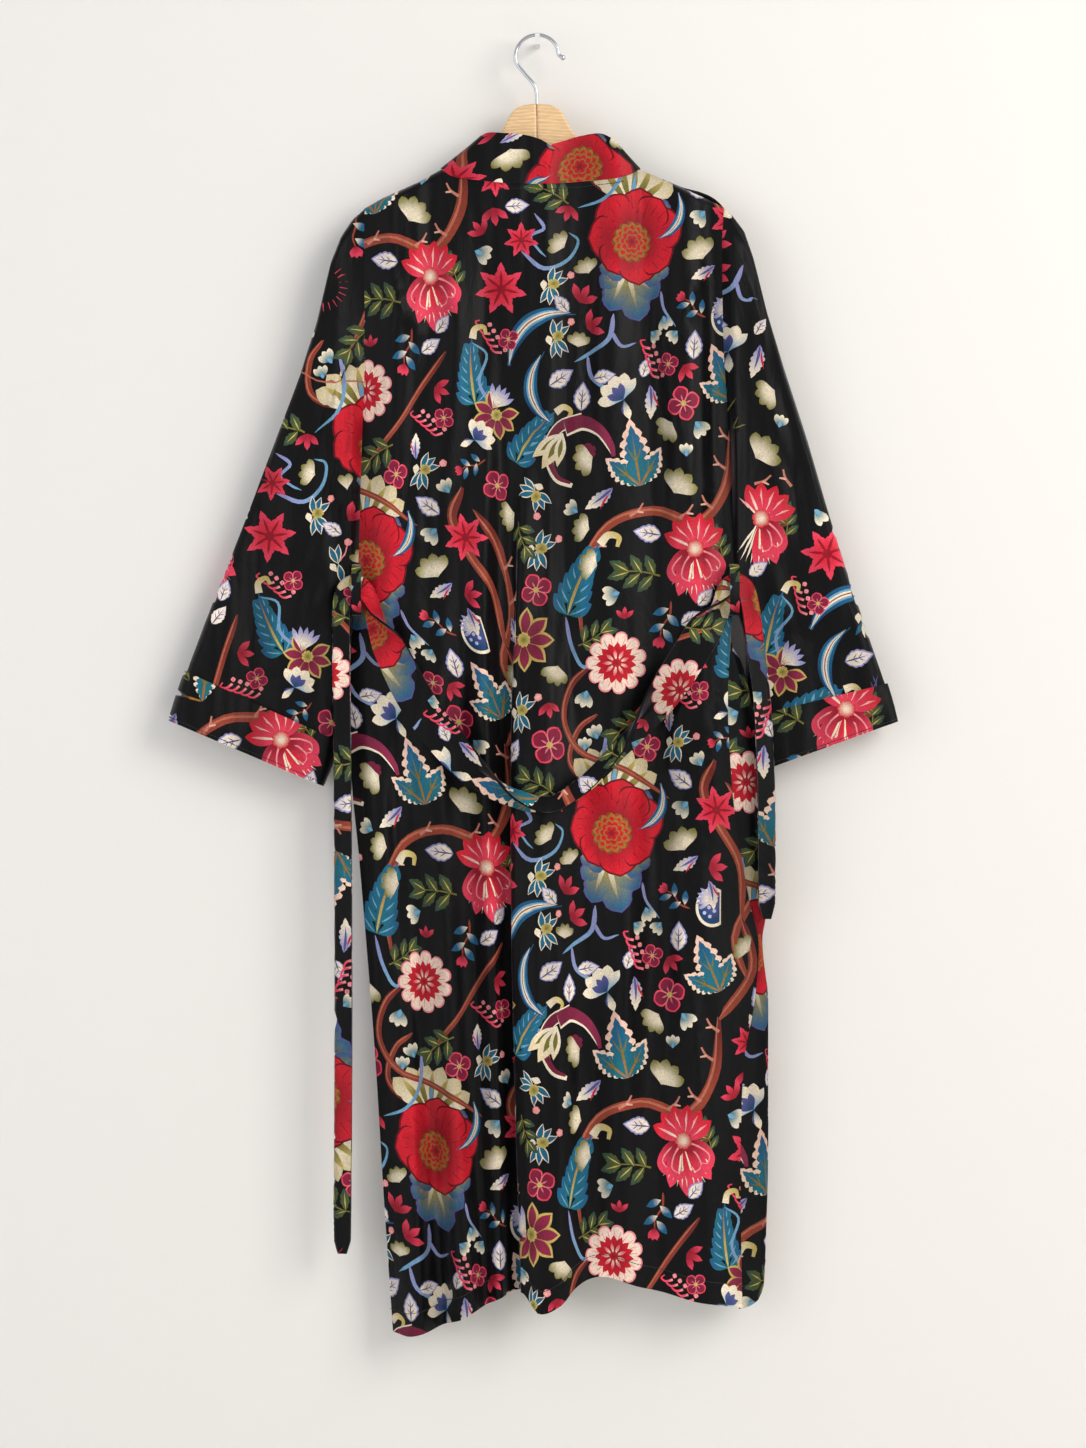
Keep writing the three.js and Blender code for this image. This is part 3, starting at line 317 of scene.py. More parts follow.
def band_seam(band, z):
    return look_up([(row[1], row[0], row[2]) for row in band], z)


def front_left_surface(share, down):
    top = shoulder_top(mix(LEFT_SHOULDER_X, LEFT_NECK_X, share))
    z = mix(top, FRONT_HEM_Z, down)
    side = look_up(LEFT_SIDE, z)
    x = mix(side[..., 0], band_seam(LEFT_BAND, z)[..., 0] - BAND_GAP, share)
    depths = look_up(LEFT_FRONT_DEPTHS, z)
    steps = np.linspace(0, 1, depths.shape[-1])
    flat = smooth_curve(np.stack([np.broadcast_to(steps, depths.shape), depths], axis=-1), share)[..., 1]
    out = mix(side[..., 2], flat, smooth_step(0, SIDE_CURVE_WIDTH, x - side[..., 0]))
    return place(x, z, mix(FRONT_SHOULDER_OUT, out, quarter_round(top - z, SHOULDER_ROLL)))


def front_right_section(z):
    side = look_up(RIGHT_SIDE, z)
    seam_x, seam_out, outline_x = side[..., 0], side[..., 2], side[..., 3]
    wrapped = smooth_step(0, 14, np.maximum(0, outline_x - seam_x))
    seam = band_seam(RIGHT_BAND, z)
    flat = look_up(RIGHT_FRONT_DEPTHS, z)
    points = [
        (seam_x - 3 * wrapped, seam_out),
        (mix(seam_x - 4, outline_x - 5, wrapped), mix(seam_out - 0.6, seam_out - 1.5, wrapped)),
        (mix(seam_x - 9, outline_x, wrapped), mix(seam_out - 2.4, seam_out - 6, wrapped)),
        (mix(seam_x - 16, outline_x - 6, wrapped), mix(mix(seam_out, flat[..., 0], 0.7), 33.5, wrapped)),
        (mix(seam_x - 26, outline_x - 26, wrapped), mix(flat[..., 0], 30, wrapped)),
    ]
    start_x = points[-1][0] - 16
    count = flat.shape[-1]
    for k in range(count):
        out = seam[..., 1] if k == count - 1 else flat[..., k]
        points.append((mix(start_x, seam[..., 0] + BAND_GAP, k / (count - 1)), out))
    return np.stack([np.stack(point, axis=-1) for point in points], axis=-2)


def front_right_surface(share, down):
    top = shoulder_top(mix(RIGHT_SHOULDER_X, RIGHT_NECK_X, share))
    hem = mix(SIDE_HEM_Z, FRONT_HEM_Z, smooth_step(0, SIDE_HEM_SHARE, share))
    z = mix(top, hem, down)
    section = smooth_curve(front_right_section(z), share)
    out = mix(FRONT_SHOULDER_OUT, section[..., 1], quarter_round(top - z, SHOULDER_ROLL))
    return place(section[..., 0], z, out)


# %% The neck band, a little lapped over the seam that holds it
BAND_SEAM_OVERLAP = 0.045


def band_surface(table):
    def surface(share, along):
        edges = []
        for first in (0, 3):
            points = place(*(np.array([row[first + i] for row in table]) for i in range(3)))
            edges.append(smooth_curve(np.broadcast_to(points, share.shape + points.shape), along))
        return mix(edges[0], edges[1], mix(-BAND_SEAM_OVERLAP, 1, share)[..., None])

    return surface


# %% The sleeves and cuffs
RING_END = 11
DRAPE_RISE, DRAPE_STEP, DRAPE_FADE = 8, 12, 190


def armhole_ring(side, side_table, bottom_z, share, back):
    top_x = LEFT_SHOULDER_X if side < 0 else RIGHT_SHOULDER_X
    top_z = shoulder_top(top_x)
    middle = look_up(side_table, bottom_z)
    z = mix(top_z, bottom_z, share)
    values = look_up(side_table, z)
    depth = np.where(back, values[..., 1], values[..., 2])
    rolled = mix(HANGER_OUT, depth, quarter_round(top_z - z, SHOULDER_ROLL))
    out = mix((middle[1] + middle[2]) / 2, rolled, quarter_round(z - bottom_z, RING_END))
    gap = np.where(back, BACK_ARMHOLE_GAP, FRONT_ARMHOLE_GAP)
    return place(values[..., 0] + side * gap, z, out)


def drape_rise(side, drape, x, z):
    edge = look_up(drape, z)[..., 0]
    inside = smooth_step(-DRAPE_STEP / 2, DRAPE_STEP / 2, side * (edge - x))
    between = smooth_step(0, 40, drape[0][0] - z) * smooth_step(0, DRAPE_FADE, z - drape[-1][0])
    return DRAPE_RISE * inside * between


def sleeve_ring(side, row, drape, share, back):
    top_x, top_z, under_x, under_z, top_out, under_out, half_depth = row
    length = math.hypot(under_x - top_x, under_z - top_z)
    x, z = mix(top_x, under_x, share), mix(top_z, under_z, share)
    rounding = quarter_round(np.minimum(share, 1 - share) * length, RING_END)
    rise = np.where(back, drape_rise(side, drape, x, z), 0) * rounding
    out = mix(top_out, under_out, share) + np.where(back, 1, -1) * half_depth * rounding + rise
    return place(x, z, out)


def ring_share(around):
    """A turn starts at the top, goes down the back side and comes up the front side."""
    turn = np.mod(around, 1)
    back = turn <= 0.5
    half = np.where(back, turn * 2, 2 - turn * 2)
    return mix(half, (1 - np.cos(half * math.pi)) / 2, 0.55), back


def sleeve_rings(side, side_table, table, drape, bottom_z, around):
    share, back = ring_share(around)
    rings = [armhole_ring(side, side_table, bottom_z, share, back)]
    rings += [sleeve_ring(side, row, drape, share, back) for row in table[:-1]]
    mouth = sleeve_ring(side, table[-1], drape, share, back)
    return rings, mouth


def sleeve_surface(side, side_table, table, drape, bottom_z):
    def surface(around, along):
        rings, mouth = sleeve_rings(side, side_table, table, drape, bottom_z, around)
        rings.append(mix(rings[-1], mouth, CUFF_OVERLAP))
        stack = np.stack(rings, axis=-2)
        place_on = along * (len(rings) - 1)
        k = np.clip(place_on.astype(int), 0, len(rings) - 2)
        low = np.take_along_axis(stack, k[..., None, None], axis=-2)[..., 0, :]
        high = np.take_along_axis(stack, (k + 1)[..., None, None], axis=-2)[..., 0, :]
        return mix(low, high, (place_on - k)[..., None])

    return surface


def cuff_surface(side, side_table, table, drape, bottom_z, bulge=0):
    def middle(around, along):
        rings, mouth = sleeve_rings(side, side_table, table, drape, bottom_z, around)
        return mix(rings[-1], mouth, along[..., None])

    def surface(around, along):
        normal = surface_normals(middle, around, along, closed=True)
        outward = 1 if normal_points_out(middle) else -1
        swell = CUFF_OFFSET + bulge * np.sin(along * math.pi)
        return middle(around, along) + normal * (outward * swell)[..., None]

    return surface


# %% The belt and its loops
def belt_surface(share, along):
    table = np.array(BELT, float)
    points = place(table[:, 0], table[:, 1], table[:, 2])
    points = np.broadcast_to(points, share.shape + points.shape)
    step = 1e-4
    centre = smooth_curve(points, along)
    tangent = smooth_curve(points, along + step) - smooth_curve(points, along - step)
    beside = np.stack([-tangent[..., 2], 0 * along, tangent[..., 0]], axis=-1)
    beside /= np.linalg.norm(beside, axis=-1, keepdims=True)
    rows = [(k, *row[3:]) for k, row in enumerate(BELT)]
    turn_degrees, fold_degrees, width_share = np.moveaxis(look_up_straight(rows, along * (len(BELT) - 1)), -1, 0)
    turn, fold = np.radians(turn_degrees), np.radians(fold_degrees)
    outward = np.array([0, -1.0, 0])
    width_way = beside * np.cos(turn)[..., None] + outward * np.sin(turn)[..., None]
    deep_way = -beside * np.sin(turn)[..., None] + outward * np.cos(turn)[..., None]

    def bent(offset):
        """The strip runs round the bend first, and then straight at the fold's angle."""
        length = np.abs(offset)
        curved = np.minimum(length, BELT_BEND)
        rate = np.maximum(fold, 1e-6) / BELT_BEND
        across = np.sin(rate * curved) / rate + (length - curved) * np.cos(fold)
        deep = (1 - np.cos(rate * curved)) / rate + (length - curved) * np.sin(fold)
        return np.sign(offset) * across, deep

    half = BELT_WIDTH / 2 * width_share
    across, deep = bent((share * 2 - 1) * half)
    deep = deep - bent(half)[1] / 2
    return centre + width_way * across[..., None] + deep_way * deep[..., None]


def loop_surface(x, lift):
    def surface(share, along):
        points = place(0, np.array([row[0] for row in LOOP_PATH]), np.array([row[1] + lift for row in LOOP_PATH]))
        centre = smooth_curve(np.broadcast_to(points, share.shape + points.shape), along)
        return centre + np.stack([x + (share - 0.5) * LOOP_WIDTH, 0 * share, 0 * share], axis=-1)

    return surface


# %% [markdown]
# ## Creases
#
# The fold lines give the large folds. A hung robe also has shallow creases, which run from where the
# belt and the seams hold the cloth. They could come from a cloth simulation. A few soft ridges and
# troughs along drawn lines put them just where the robe shows them.

# %% Soft ridges and troughs: points x, z along the crease, half width, height
BACK_CREASES = [
    ([(-184, -590), (-150, -650), (-128, -760)], 9, 3.2), ([(-180, -612), (-166, -720), (-150, -860)], 8, -2.6),
    ([(-62, -190), (-66, -330), (-58, -470)], 9, 3.2), ([(60, -190), (54, -330), (64, -500)], 9, -3.2),
    ([(118, -230), (140, -380), (168, -540)], 10, 3.6), ([(186, -600), (150, -700), (122, -850)], 11, 3.0),
    ([(190, -640), (176, -760), (168, -900)], 8, -2.4), ([(-112, -850), (-118, -1010), (-96, -1220)], 8, 4.0),
    ([(34, -880), (40, -1080), (34, -1290)], 8, -3.8), ([(146, -900), (170, -1080), (180, -1300)], 9, 4.0),
    ([(-172, -230), (-140, -290), (-96, -330)], 9, 3.0), ([(176, -230), (150, -300), (104, -350)], 8, 2.8),
    ([(-160, -980), (-140, -1120), (-128, -1330)], 8, -3.4), ([(84, -560), (96, -640), (90, -760)], 7, -1.8),
    ([(-178, -470), (-140, -520), (-90, -545)], 8, 1.6), ([(190, -450), (160, -500), (112, -520)], 8, 1.6),
]
SLEEVE_CREASES = {
    "left": [
        ([(-204, -250), (-222, -360), (-216, -470)], 9, 3.4), ([(-236, -340), (-262, -470), (-300, -600)], 11, -3.0),
        ([(-206, -560), (-246, -620), (-330, -650)], 9, 2.6), ([(-210, -640), (-262, -676), (-340, -676)], 8, -2.0),
        ([(-212, -500), (-240, -560), (-262, -640)], 9, 2.4),
    ],
    "right": [
        ([(232, -250), (252, -380), (262, -470)], 9, -2.6), ([(262, -370), (286, -500), (330, -650)], 11, 3.0),
        ([(224, -590), (272, -630), (344, -640)], 9, -2.2), ([(228, -520), (256, -590), (276, -660)], 9, 2.6),
    ],
}


def crease_height(creases, x, z):
    """Each crease swells and dies out along its line, and falls off to its sides."""
    height = np.zeros(np.shape(x))
    for line, width, rise in creases:
        points = np.asarray(line, float)
        lengths = np.linalg.norm(np.diff(points, axis=0), axis=1)
        total, before = lengths.sum(), 0.0
        best, where = np.full(np.shape(x), 1e9), np.zeros(np.shape(x))
        for (ax, az), (bx, bz), length in zip(points[:-1], points[1:], lengths):
            t = np.clip(((x - ax) * (bx - ax) + (z - az) * (bz - az)) / length**2, 0, 1)
            distance = np.hypot(x - mix(ax, bx, t), z - mix(az, bz, t))
            nearer = distance < best
            best = np.where(nearer, distance, best)
            where = np.where(nearer, (before + t * length) / total, where)
            before += length
        height += rise * np.sin(math.pi * np.clip(where, 0, 1)) ** 0.8 * np.exp(-((best / width) ** 2))
    return height


def creased(surface, creases, on_back=None):
    """Moves a surface off the wall by its creases. on_back limits that to a tube's back side."""

    def moved(share, along):
        points = surface(share, along)
        height = crease_height(creases, points[..., 0], points[..., 2])
        if on_back is not None:
            height = height * on_back(share)
        return points - np.stack([0 * height, height, 0 * height], axis=-1)

    return moved


def back_of_turn(around):
    half, back = ring_share(around)
    return np.where(back, np.sin(math.pi * half), 0)


# %% Normals of a surface
def surface_normals(surface, share, along, closed=False, step=0.0008):
    """Unit normals by small steps, kept inside the piece where it has edges."""
    if closed:
        left, right = share - step, share + step
    else:
        left, right = np.maximum(share - step, 0), np.minimum(share + step, 1)
    up, down = np.maximum(along - step, 0), np.minimum(along + step, 1)
    across = surface(right, along) - surface(left, along)
    downward = surface(share, down) - surface(share, up)
    normal = np.cross(across, downward)
    return normal / np.maximum(np.linalg.norm(normal, axis=-1, keepdims=True), 1e-9)


def normal_points_out(surface):
    """Whether a tube's normals point away from its middle."""
    around = np.linspace(0, 1, 40, endpoint=False)
    along = np.full_like(around, 0.5)
    points = surface(around, along)
    normal = surface_normals(surface, around, along, closed=True)
    return float(np.mean(np.sum((points - points.mean(axis=0)) * normal, axis=-1))) > 0

# %% [markdown]
# ## Colours and materials
#
# The robe is cotton-backed velvet: a dense cut pile, dyed nearly black, with a large trailing flower
# print. Velvet could be made of a million hairs. A sheen layer gives the same look at this size: it
# stays dark where the pile is seen end-on and turns grey where the cloth curves away.

# %% Colours as sRGB hex values, turned to linear
def linear(hex_colour):
    value = hex_colour.lstrip("#")
    channels = [int(value[i : i + 2], 16) / 255 for i in (0, 2, 4)]
    return tuple(c / 12.92 if c <= 0.04045 else ((c + 0.055) / 1.055) ** 2.4 for c in channels) + (1.0,)


def add_node(tree, kind, settings=None, inputs=None, links=None):
    """Adds a node. Inputs are values by socket name or number, links are sockets to join to them."""
    node = tree.nodes.new(kind)
    for name, value in (settings or {}).items():
        setattr(node, name, value)
    for name, value in (inputs or {}).items():
        node.inputs[name].default_value = value
    for name, socket in (links or {}).items():
        tree.links.new(socket, node.inputs[name])
    return node


def new_material(name):
    material = bpy.data.materials.new(name)
    material.use_nodes = True
    tree = material.node_tree
    shader = next(node for node in tree.nodes if node.type == "BSDF_PRINCIPLED")
    return material, tree, shader


def set_sockets(shader, **values):
    for name, value in values.items():
        shader.inputs[name.replace("_", " ")].default_value = value


# %% Printed velvet: cut cotton pile, reactive print
def velvet_material(name):
    """Reads the print's colour at each corner. Nap noise shades it and raises a fine pile. The drape waves tilt the
    normal, and they also paint shade into the colour in their hollows and a highlight on their crests.
    """
    material, tree, shader = new_material(name)
    where = add_node(tree, "ShaderNodeTexCoord")
    stretch = add_node(
        tree, "ShaderNodeMapping", inputs={"Scale": (1, 1, 0.35)}, links={"Vector": where.outputs["Object"]}
    )
    # Brushed nap: patches about 40 mm long, in which the pile leans another way.
    nap = add_node(
        tree, "ShaderNodeTexNoise", inputs={"Scale": 24, "Detail": 4, "Roughness": 0.6, "Distortion": 0.6},
        links={"Vector": stretch.outputs["Vector"]},
    )
    # Drape too slight to shape by hand: upright waves about 60 mm apart. They tilt the normal, and below they also
    # darken the print in their hollows and lighten it on their crests as painted shade and painted highlight.
    upright = add_node(
        tree, "ShaderNodeMapping", inputs={"Scale": (1, 1, 0.12)}, links={"Vector": where.outputs["Object"]}
    )
    waves = add_node(
        tree, "ShaderNodeTexNoise", inputs={"Scale": 15, "Detail": 1.5, "Distortion": 0.3},
        links={"Vector": upright.outputs["Vector"]},
    )
    # Pile tufts are about 0.4 mm apart. They are drawn at 1.2 mm, so that the render shows them.
    tufts = add_node(
        tree, "ShaderNodeTexNoise", inputs={"Scale": 820, "Detail": 2}, links={"Vector": where.outputs["Object"]}
    )
    shade = add_node(
        tree, "ShaderNodeMapRange", inputs={"From Min": 0.25, "From Max": 0.75, "To Min": 0.64, "To Max": 1.14},
        links={"Value": nap.outputs["Fac"]},
    )
    grain = add_node(
        tree, "ShaderNodeMapRange", inputs={"From Min": 0.3, "From Max": 0.7, "To Min": 0.8, "To Max": 1.2},
        links={"Value": tufts.outputs["Fac"]},
    )
    # Painted shade and highlight: the print's colour falls to 0.74 in the drape waves' hollows and rises to 1.15 on
    # their crests.
    painted_drape_shade_and_highlight = add_node(
        tree, "ShaderNodeMapRange", inputs={"From Min": 0.36, "From Max": 0.6, "To Min": 0.74, "To Max": 1.15},
        links={"Value": waves.outputs["Fac"]},
    )
    pair = add_node(
        tree, "ShaderNodeMath", {"operation": "MULTIPLY"},
        links={0: shade.outputs["Result"], 1: grain.outputs["Result"]},
    )
    tone_with_painted_shade = add_node(
        tree, "ShaderNodeMath", {"operation": "MULTIPLY"},
        links={0: pair.outputs[0], 1: painted_drape_shade_and_highlight.outputs["Result"]},
    )
    colour = add_node(tree, "ShaderNodeAttribute", {"attribute_name": "print"}).outputs["Color"]
    shaded = add_node(
        tree, "ShaderNodeVectorMath", {"operation": "SCALE"}, links={0: colour, "Scale": tone_with_painted_shade.outputs[0]}
    )
    tree.links.new(shaded.outputs["Vector"], shader.inputs["Base Color"])
    pile = add_node(
        tree, "ShaderNodeBump", inputs={"Strength": 0.35, "Distance": 0.0006},
        links={"Height": tufts.outputs["Fac"]},
    )
    lean = add_node(
        tree, "ShaderNodeBump", inputs={"Strength": 0.5, "Distance": 0.004},
        links={"Height": nap.outputs["Fac"], "Normal": pile.outputs["Normal"]},
    )
    drape = add_node(
        tree, "ShaderNodeBump", inputs={"Strength": 1.0, "Distance": 0.04},
        links={"Height": waves.outputs["Fac"], "Normal": lean.outputs["Normal"]},
    )
    tree.links.new(drape.outputs["Normal"], shader.inputs["Normal"])
    rough = add_node(
        tree, "ShaderNodeMapRange", inputs={"From Min": 0.3, "From Max": 0.7, "To Min": 0.4, "To Max": 0.56},
        links={"Value": nap.outputs["Fac"]},
    )
    tree.links.new(rough.outputs["Result"], shader.inputs["Roughness"])
    set_sockets(
        shader, IOR=1.45, Specular_IOR_Level=0.17, Sheen_Weight=0.5, Sheen_Roughness=0.3,
        Sheen_Tint=linear("#a9aab6"),
    )
    return material


VELVET_BLACK = "#060507"
velvet = velvet_material("printed cotton velvet")


# %% Velvet's back: a plain black woven ground
def ground_material():
    material, tree, shader = new_material("black woven ground of the velvet")
    where = add_node(tree, "ShaderNodeTexCoord")
    # Yarns are 0.4 mm apart, drawn at 1.6 mm.
    weave = add_node(
        tree, "ShaderNodeTexWave", {"wave_type": "BANDS", "bands_direction": "Z"},
        inputs={"Scale": 196, "Distortion": 1.2, "Detail": 2}, links={"Vector": where.outputs["Object"]},
    )
    tone = add_node(
        tree, "ShaderNodeMapRange", inputs={"To Min": 0.010, "To Max": 0.019},
        links={"Value": weave.outputs["Fac"]},
    )
    tree.links.new(tone.outputs["Result"], shader.inputs["Base Color"])
    bump = add_node(
        tree, "ShaderNodeBump", inputs={"Strength": 0.3, "Distance": 0.0004},
        links={"Height": weave.outputs["Fac"]},
    )
    tree.links.new(bump.outputs["Normal"], shader.inputs["Normal"])
    set_sockets(shader, Roughness=0.85)
    return material


velvet_back = ground_material()

# %% [markdown]
# ## The print
#
# The cloth is printed flat with a trailing flower pattern in the manner of old painted cottons: large
# red peonies, cream rosettes, blue leaves with cream edges, maroon crescents, and twigs that join them.
# It could be an image. Here each flower is a few outlines from formulas, laid on the flat cloth like
# paper cut-outs, and Blender's triangulation cuts the panel's mesh along them, so their edges stay
# sharp however near the camera comes.

# %% Outlines from formulas, in millimetres, with a flower's middle or a leaf's foot at (0, 0)
def shape(points, colour, rim=None, centre=(0, 0), reach=1.0):
    """One cut-out. Its colour turns from the centre's to the rim's over its reach."""
    return (np.asarray(points, float), colour, rim or colour, centre, reach)


def turned(shapes, degrees=0, size=1, shift=(0, 0), flip=False):
    angle = math.radians(degrees)
    spin = np.array([[math.cos(angle), math.sin(angle)], [-math.sin(angle), math.cos(angle)]]) * size
    if flip:
        spin = np.array([[-1, 0], [0, 1]]) @ spin
    result = []
    for points, colour, rim, centre, reach in shapes:
        moved = np.asarray(centre) @ spin + shift
        result.append((points @ spin + shift, colour, rim, tuple(moved), reach * size))
    return result


def scalloped(radius, lobes, depth=0.15, squash=1.0, phase=0.0, steps=7):
    angle = np.linspace(0, 2 * math.pi, lobes * steps, endpoint=False)
    wave = np.abs(np.sin(lobes * angle / 2 + phase))
    r = radius * (1 - depth + depth * np.sqrt(wave))
    return np.stack([r * np.cos(angle), squash * r * np.sin(angle)], axis=-1)


def blade(length, width, belly=0.45, teeth=0, depth=0.0, bend=0.0, steps=12, tip=1.0):
    """A leaf or petal that grows up from its foot. Teeth cut its edge, bend leans its tip sideways."""
    count = max(steps, teeth * 3)
    t = np.linspace(0, 1, count + 1)
    power = math.log(0.5) / math.log(belly)
    half = width / 2 * np.sin(math.pi * t**power) ** tip
    if teeth:
        half = half * (1 - depth + depth * np.abs(np.sin(math.pi * teeth * t)) ** 0.6)
    lean = bend * t * t
    left = np.stack([lean - half, length * t], axis=-1)
    right = np.stack([lean + half, length * t], axis=-1)[::-1]
    return np.concatenate([left, right[1:-1]])


def stroke(points, start, end=None, steps=5, taper=0.0):
    """A brush stroke along a smooth path, from one width to another. Taper is the share that narrows at each end."""
    end = start if end is None else end
    points = np.asarray(points, float)
    share = np.linspace(0, 1, (len(points) - 1) * steps + 1)
    path = smooth_curve(np.broadcast_to(points, share.shape + points.shape), share)
    along = np.gradient(path, axis=0)
    along /= np.maximum(np.linalg.norm(along, axis=-1, keepdims=True), 1e-9)
    width = mix(start, end, share)
    if taper:
        width = width * np.sqrt(np.clip(np.minimum(share, 1 - share) / taper, 0.02, 1))
    side = np.stack([-along[:, 1], along[:, 0]], axis=-1) * (width / 2)[:, None]
    return np.concatenate([path + side, (path - side)[::-1]])


def simplified(points, tolerance=0.2, longest=16):
    """Drops the points that lie within the tolerance of a straight side, but keeps long sides short."""
    closed = np.vstack([points, points[:1]])
    far = int(np.linalg.norm(points - points[0], axis=1).argmax())
    keep, spans = {0, far}, [(0, far), (far, len(points))]
    while spans:
        first, last = spans.pop()
        if last - first < 2:
            continue
        side, reach = closed[last] - closed[first], closed[first + 1 : last] - closed[first]
        length = max(np.linalg.norm(side), 1e-9)
        off = np.abs(side[0] * reach[:, 1] - side[1] * reach[:, 0]) / length
        if off.max() > tolerance or length > longest:
            middle = first + 1 + int(off.argmax()) if off.max() > tolerance else (first + last) // 2
            keep.add(middle)
            spans += [(first, middle), (middle, last)]
    return points[sorted(keep)]


# %% The print's colours
RED, DEEP_RED, DARK_RED, PINK, ROSE = "#c91a2b", "#8d0f22", "#6e0b1a", "#e2405a", "#f08d92"
CREAM, STRAW, OLIVE, GOLD = "#f0e2c8", "#c9b263", "#75702f", "#a9702c"
BLUE, DEEP_BLUE, TEAL, SKY = "#1f5f86", "#153e66", "#1d6d7c", "#6fa3c4"
LILAC, VIOLET, MAROON, BROWN = "#8f8fc0", "#55568f", "#701b38", "#97402f"


def blade_at(degrees, length, width, colour, rim=None, centre=(0, 0), reach=1.0, foot=(0, 0), shift=(0, 0), **form):
    """One blade, turned about its foot and then moved."""
    return turned([shape(blade(length, width, **form) + foot, colour, rim, centre, reach)], degrees, shift=shift)


def petals(count, length, width, colour, rim, start=0, sweep=360, foot=0, **form):
    shapes = []
    for k in range(count):
        petal = shape(blade(length, width, **form) + (0, foot), colour, rim, (0, foot), length)
        shapes += turned([petal], start + sweep * k / count)
    return shapes


# %% Large flowers
def peony():
    """Broad red petals round a gold-brown heart, a cream fan above, and blue leaves with a straw throat."""
    drawn = []
    for degrees, size, flip in ((76, 0.86, False), (196, 0.92, True), (236, 0.6, False), (128, 0.66, True)):
        angle = math.radians(degrees)
        drawn += turned(lobed_leaf(), degrees, size, (34 * math.sin(angle), 34 * math.cos(angle)), flip)
    drawn += turned(fan_leaf(), -10, 1.2, (-6, 30))
    for degrees, length, width in (
        (-8, 50, 40), (44, 52, 42), (92, 50, 44), (140, 46, 42),
        (186, 50, 40), (232, 48, 44), (284, 54, 42), (322, 48, 38),
    ):
        notched = {"belly": 0.66, "teeth": 2, "depth": 0.2, "tip": 0.6}
        edge = shape(blade(length + 2, width + 3, **notched), DARK_RED)
        petal = shape(blade(length, width, **notched), DEEP_RED, "#d41d2e", (0, 6), length * 0.8)
        drawn += turned([edge, petal], degrees)
        for lean in (-9, 0, 9):
            vein = stroke([(lean * 0.5, 20), (lean, 32), (lean * 1.2, 42)], 1.0, 0.4)
            drawn += turned([shape(vein, DARK_RED)], degrees)
    for degrees, length in ((20, 38), (74, 36), (120, 34), (166, 38), (212, 34), (258, 36), (304, 38)):
        petal = shape(blade(length, 26, belly=0.64, teeth=2, depth=0.16, tip=0.7), "#7d0c1c", RED, (0, 4), length)
        drawn += turned([petal], degrees, shift=(-3, -4))
    drawn.append(shape(scalloped(22, 13, 0.2) + (-4, -6), BROWN, "#8a4a26", (-4, -6), 22))
    for count, reach, width, turn in ((13, 21, 9, 0), (10, 15, 8, 14), (6, 9, 7, 30)):
        for share, thin, rim in ((1, 1, GOLD), (0.84, 0.7, RED)):
            scales = petals(count, reach * share, width * thin, DEEP_RED, rim, start=turn, belly=0.7, tip=0.7)
            drawn += turned(scales, shift=(-4, -6))
    return drawn


def lobed_leaf():
    """A blue leaf of round lobes, straw in its throat."""
    drawn = []
    lobes = [(0, 62, 36), (-34, 50, 30), (36, 52, 30), (-66, 36, 24), (68, 36, 24)]
    for degrees, length, width in lobes:
        edge = shape(blade(length + 2, width + 4, belly=0.66, teeth=4, depth=0.12, tip=0.7), VIOLET)
        drawn += turned([edge], degrees)
    for degrees, length, width in lobes:
        drawn += blade_at(
            degrees, length, width, "#a3923c", BLUE, (0, 6), length * 0.95, belly=0.66, teeth=4, depth=0.14, tip=0.7
        )
    for degrees, length, _ in lobes:
        drawn += blade_at(degrees, length * 0.8, 6, CREAM, OLIVE, (0, 4), length * 0.8, belly=0.4)
    return drawn


def fan_leaf():
    drawn = []
    for degrees in (-54, -34, -12, 12, 34, 54):
        drawn += blade_at(degrees, 48, 18, CREAM, "#c8b88a", (0, 12), 44, belly=0.7, teeth=3, depth=0.2, tip=0.7)
    for degrees in (-46, -24, 0, 24, 46):
        drawn += blade_at(degrees, 42, 6, OLIVE, STRAW, (0, 16), 30, belly=0.6)
    drawn.append(shape(blade(34, 5, belly=0.35), SKY))
    return drawn


def striped_blossom():
    """A hanging blossom: a crown of curled crimson petals over long striped ones."""
    drawn = []
    for degrees, length in ((150, 52), (172, 58), (196, 58), (218, 50)):
        bend = 6 if degrees > 180 else -6
        drawn += blade_at(degrees, length, 20, RED, PINK, (0, 10), 40, belly=0.55, bend=bend, tip=0.8)
        for lean in (-4, 0, 4):
            drawn += blade_at(degrees, length * 0.78, 2.4, CREAM, belly=0.5, bend=lean, foot=(lean * 0.5, 4))
    for degrees in (112, 136, 226, 250):
        curl = [(0, 4), (2, 22), (10, 34), (20, 33), (21, 25)]
        path = [(x if degrees > 180 else -x, z) for x, z in curl]
        drawn += turned([shape(stroke(path, 15, 4), DEEP_RED, PINK, (0, 6), 34)], degrees)
        drawn += turned([shape(stroke([(x * 0.8, z * 0.92) for x, z in path], 2.2, 0.8), ROSE)], degrees)
    for degrees in (-62, -38, -14, 12, 36, 60):
        drawn += blade_at(degrees, 38, 17, PINK, RED, (0, 6), 34, belly=0.55, tip=0.8)
        drawn += blade_at(degrees, 29, 3, CREAM, ROSE, (0, 8), 24, belly=0.5, foot=(0, 3))
    drawn.append(shape(scalloped(10, 7, 0.2), CREAM, RED, (0, 0), 10))
    return drawn


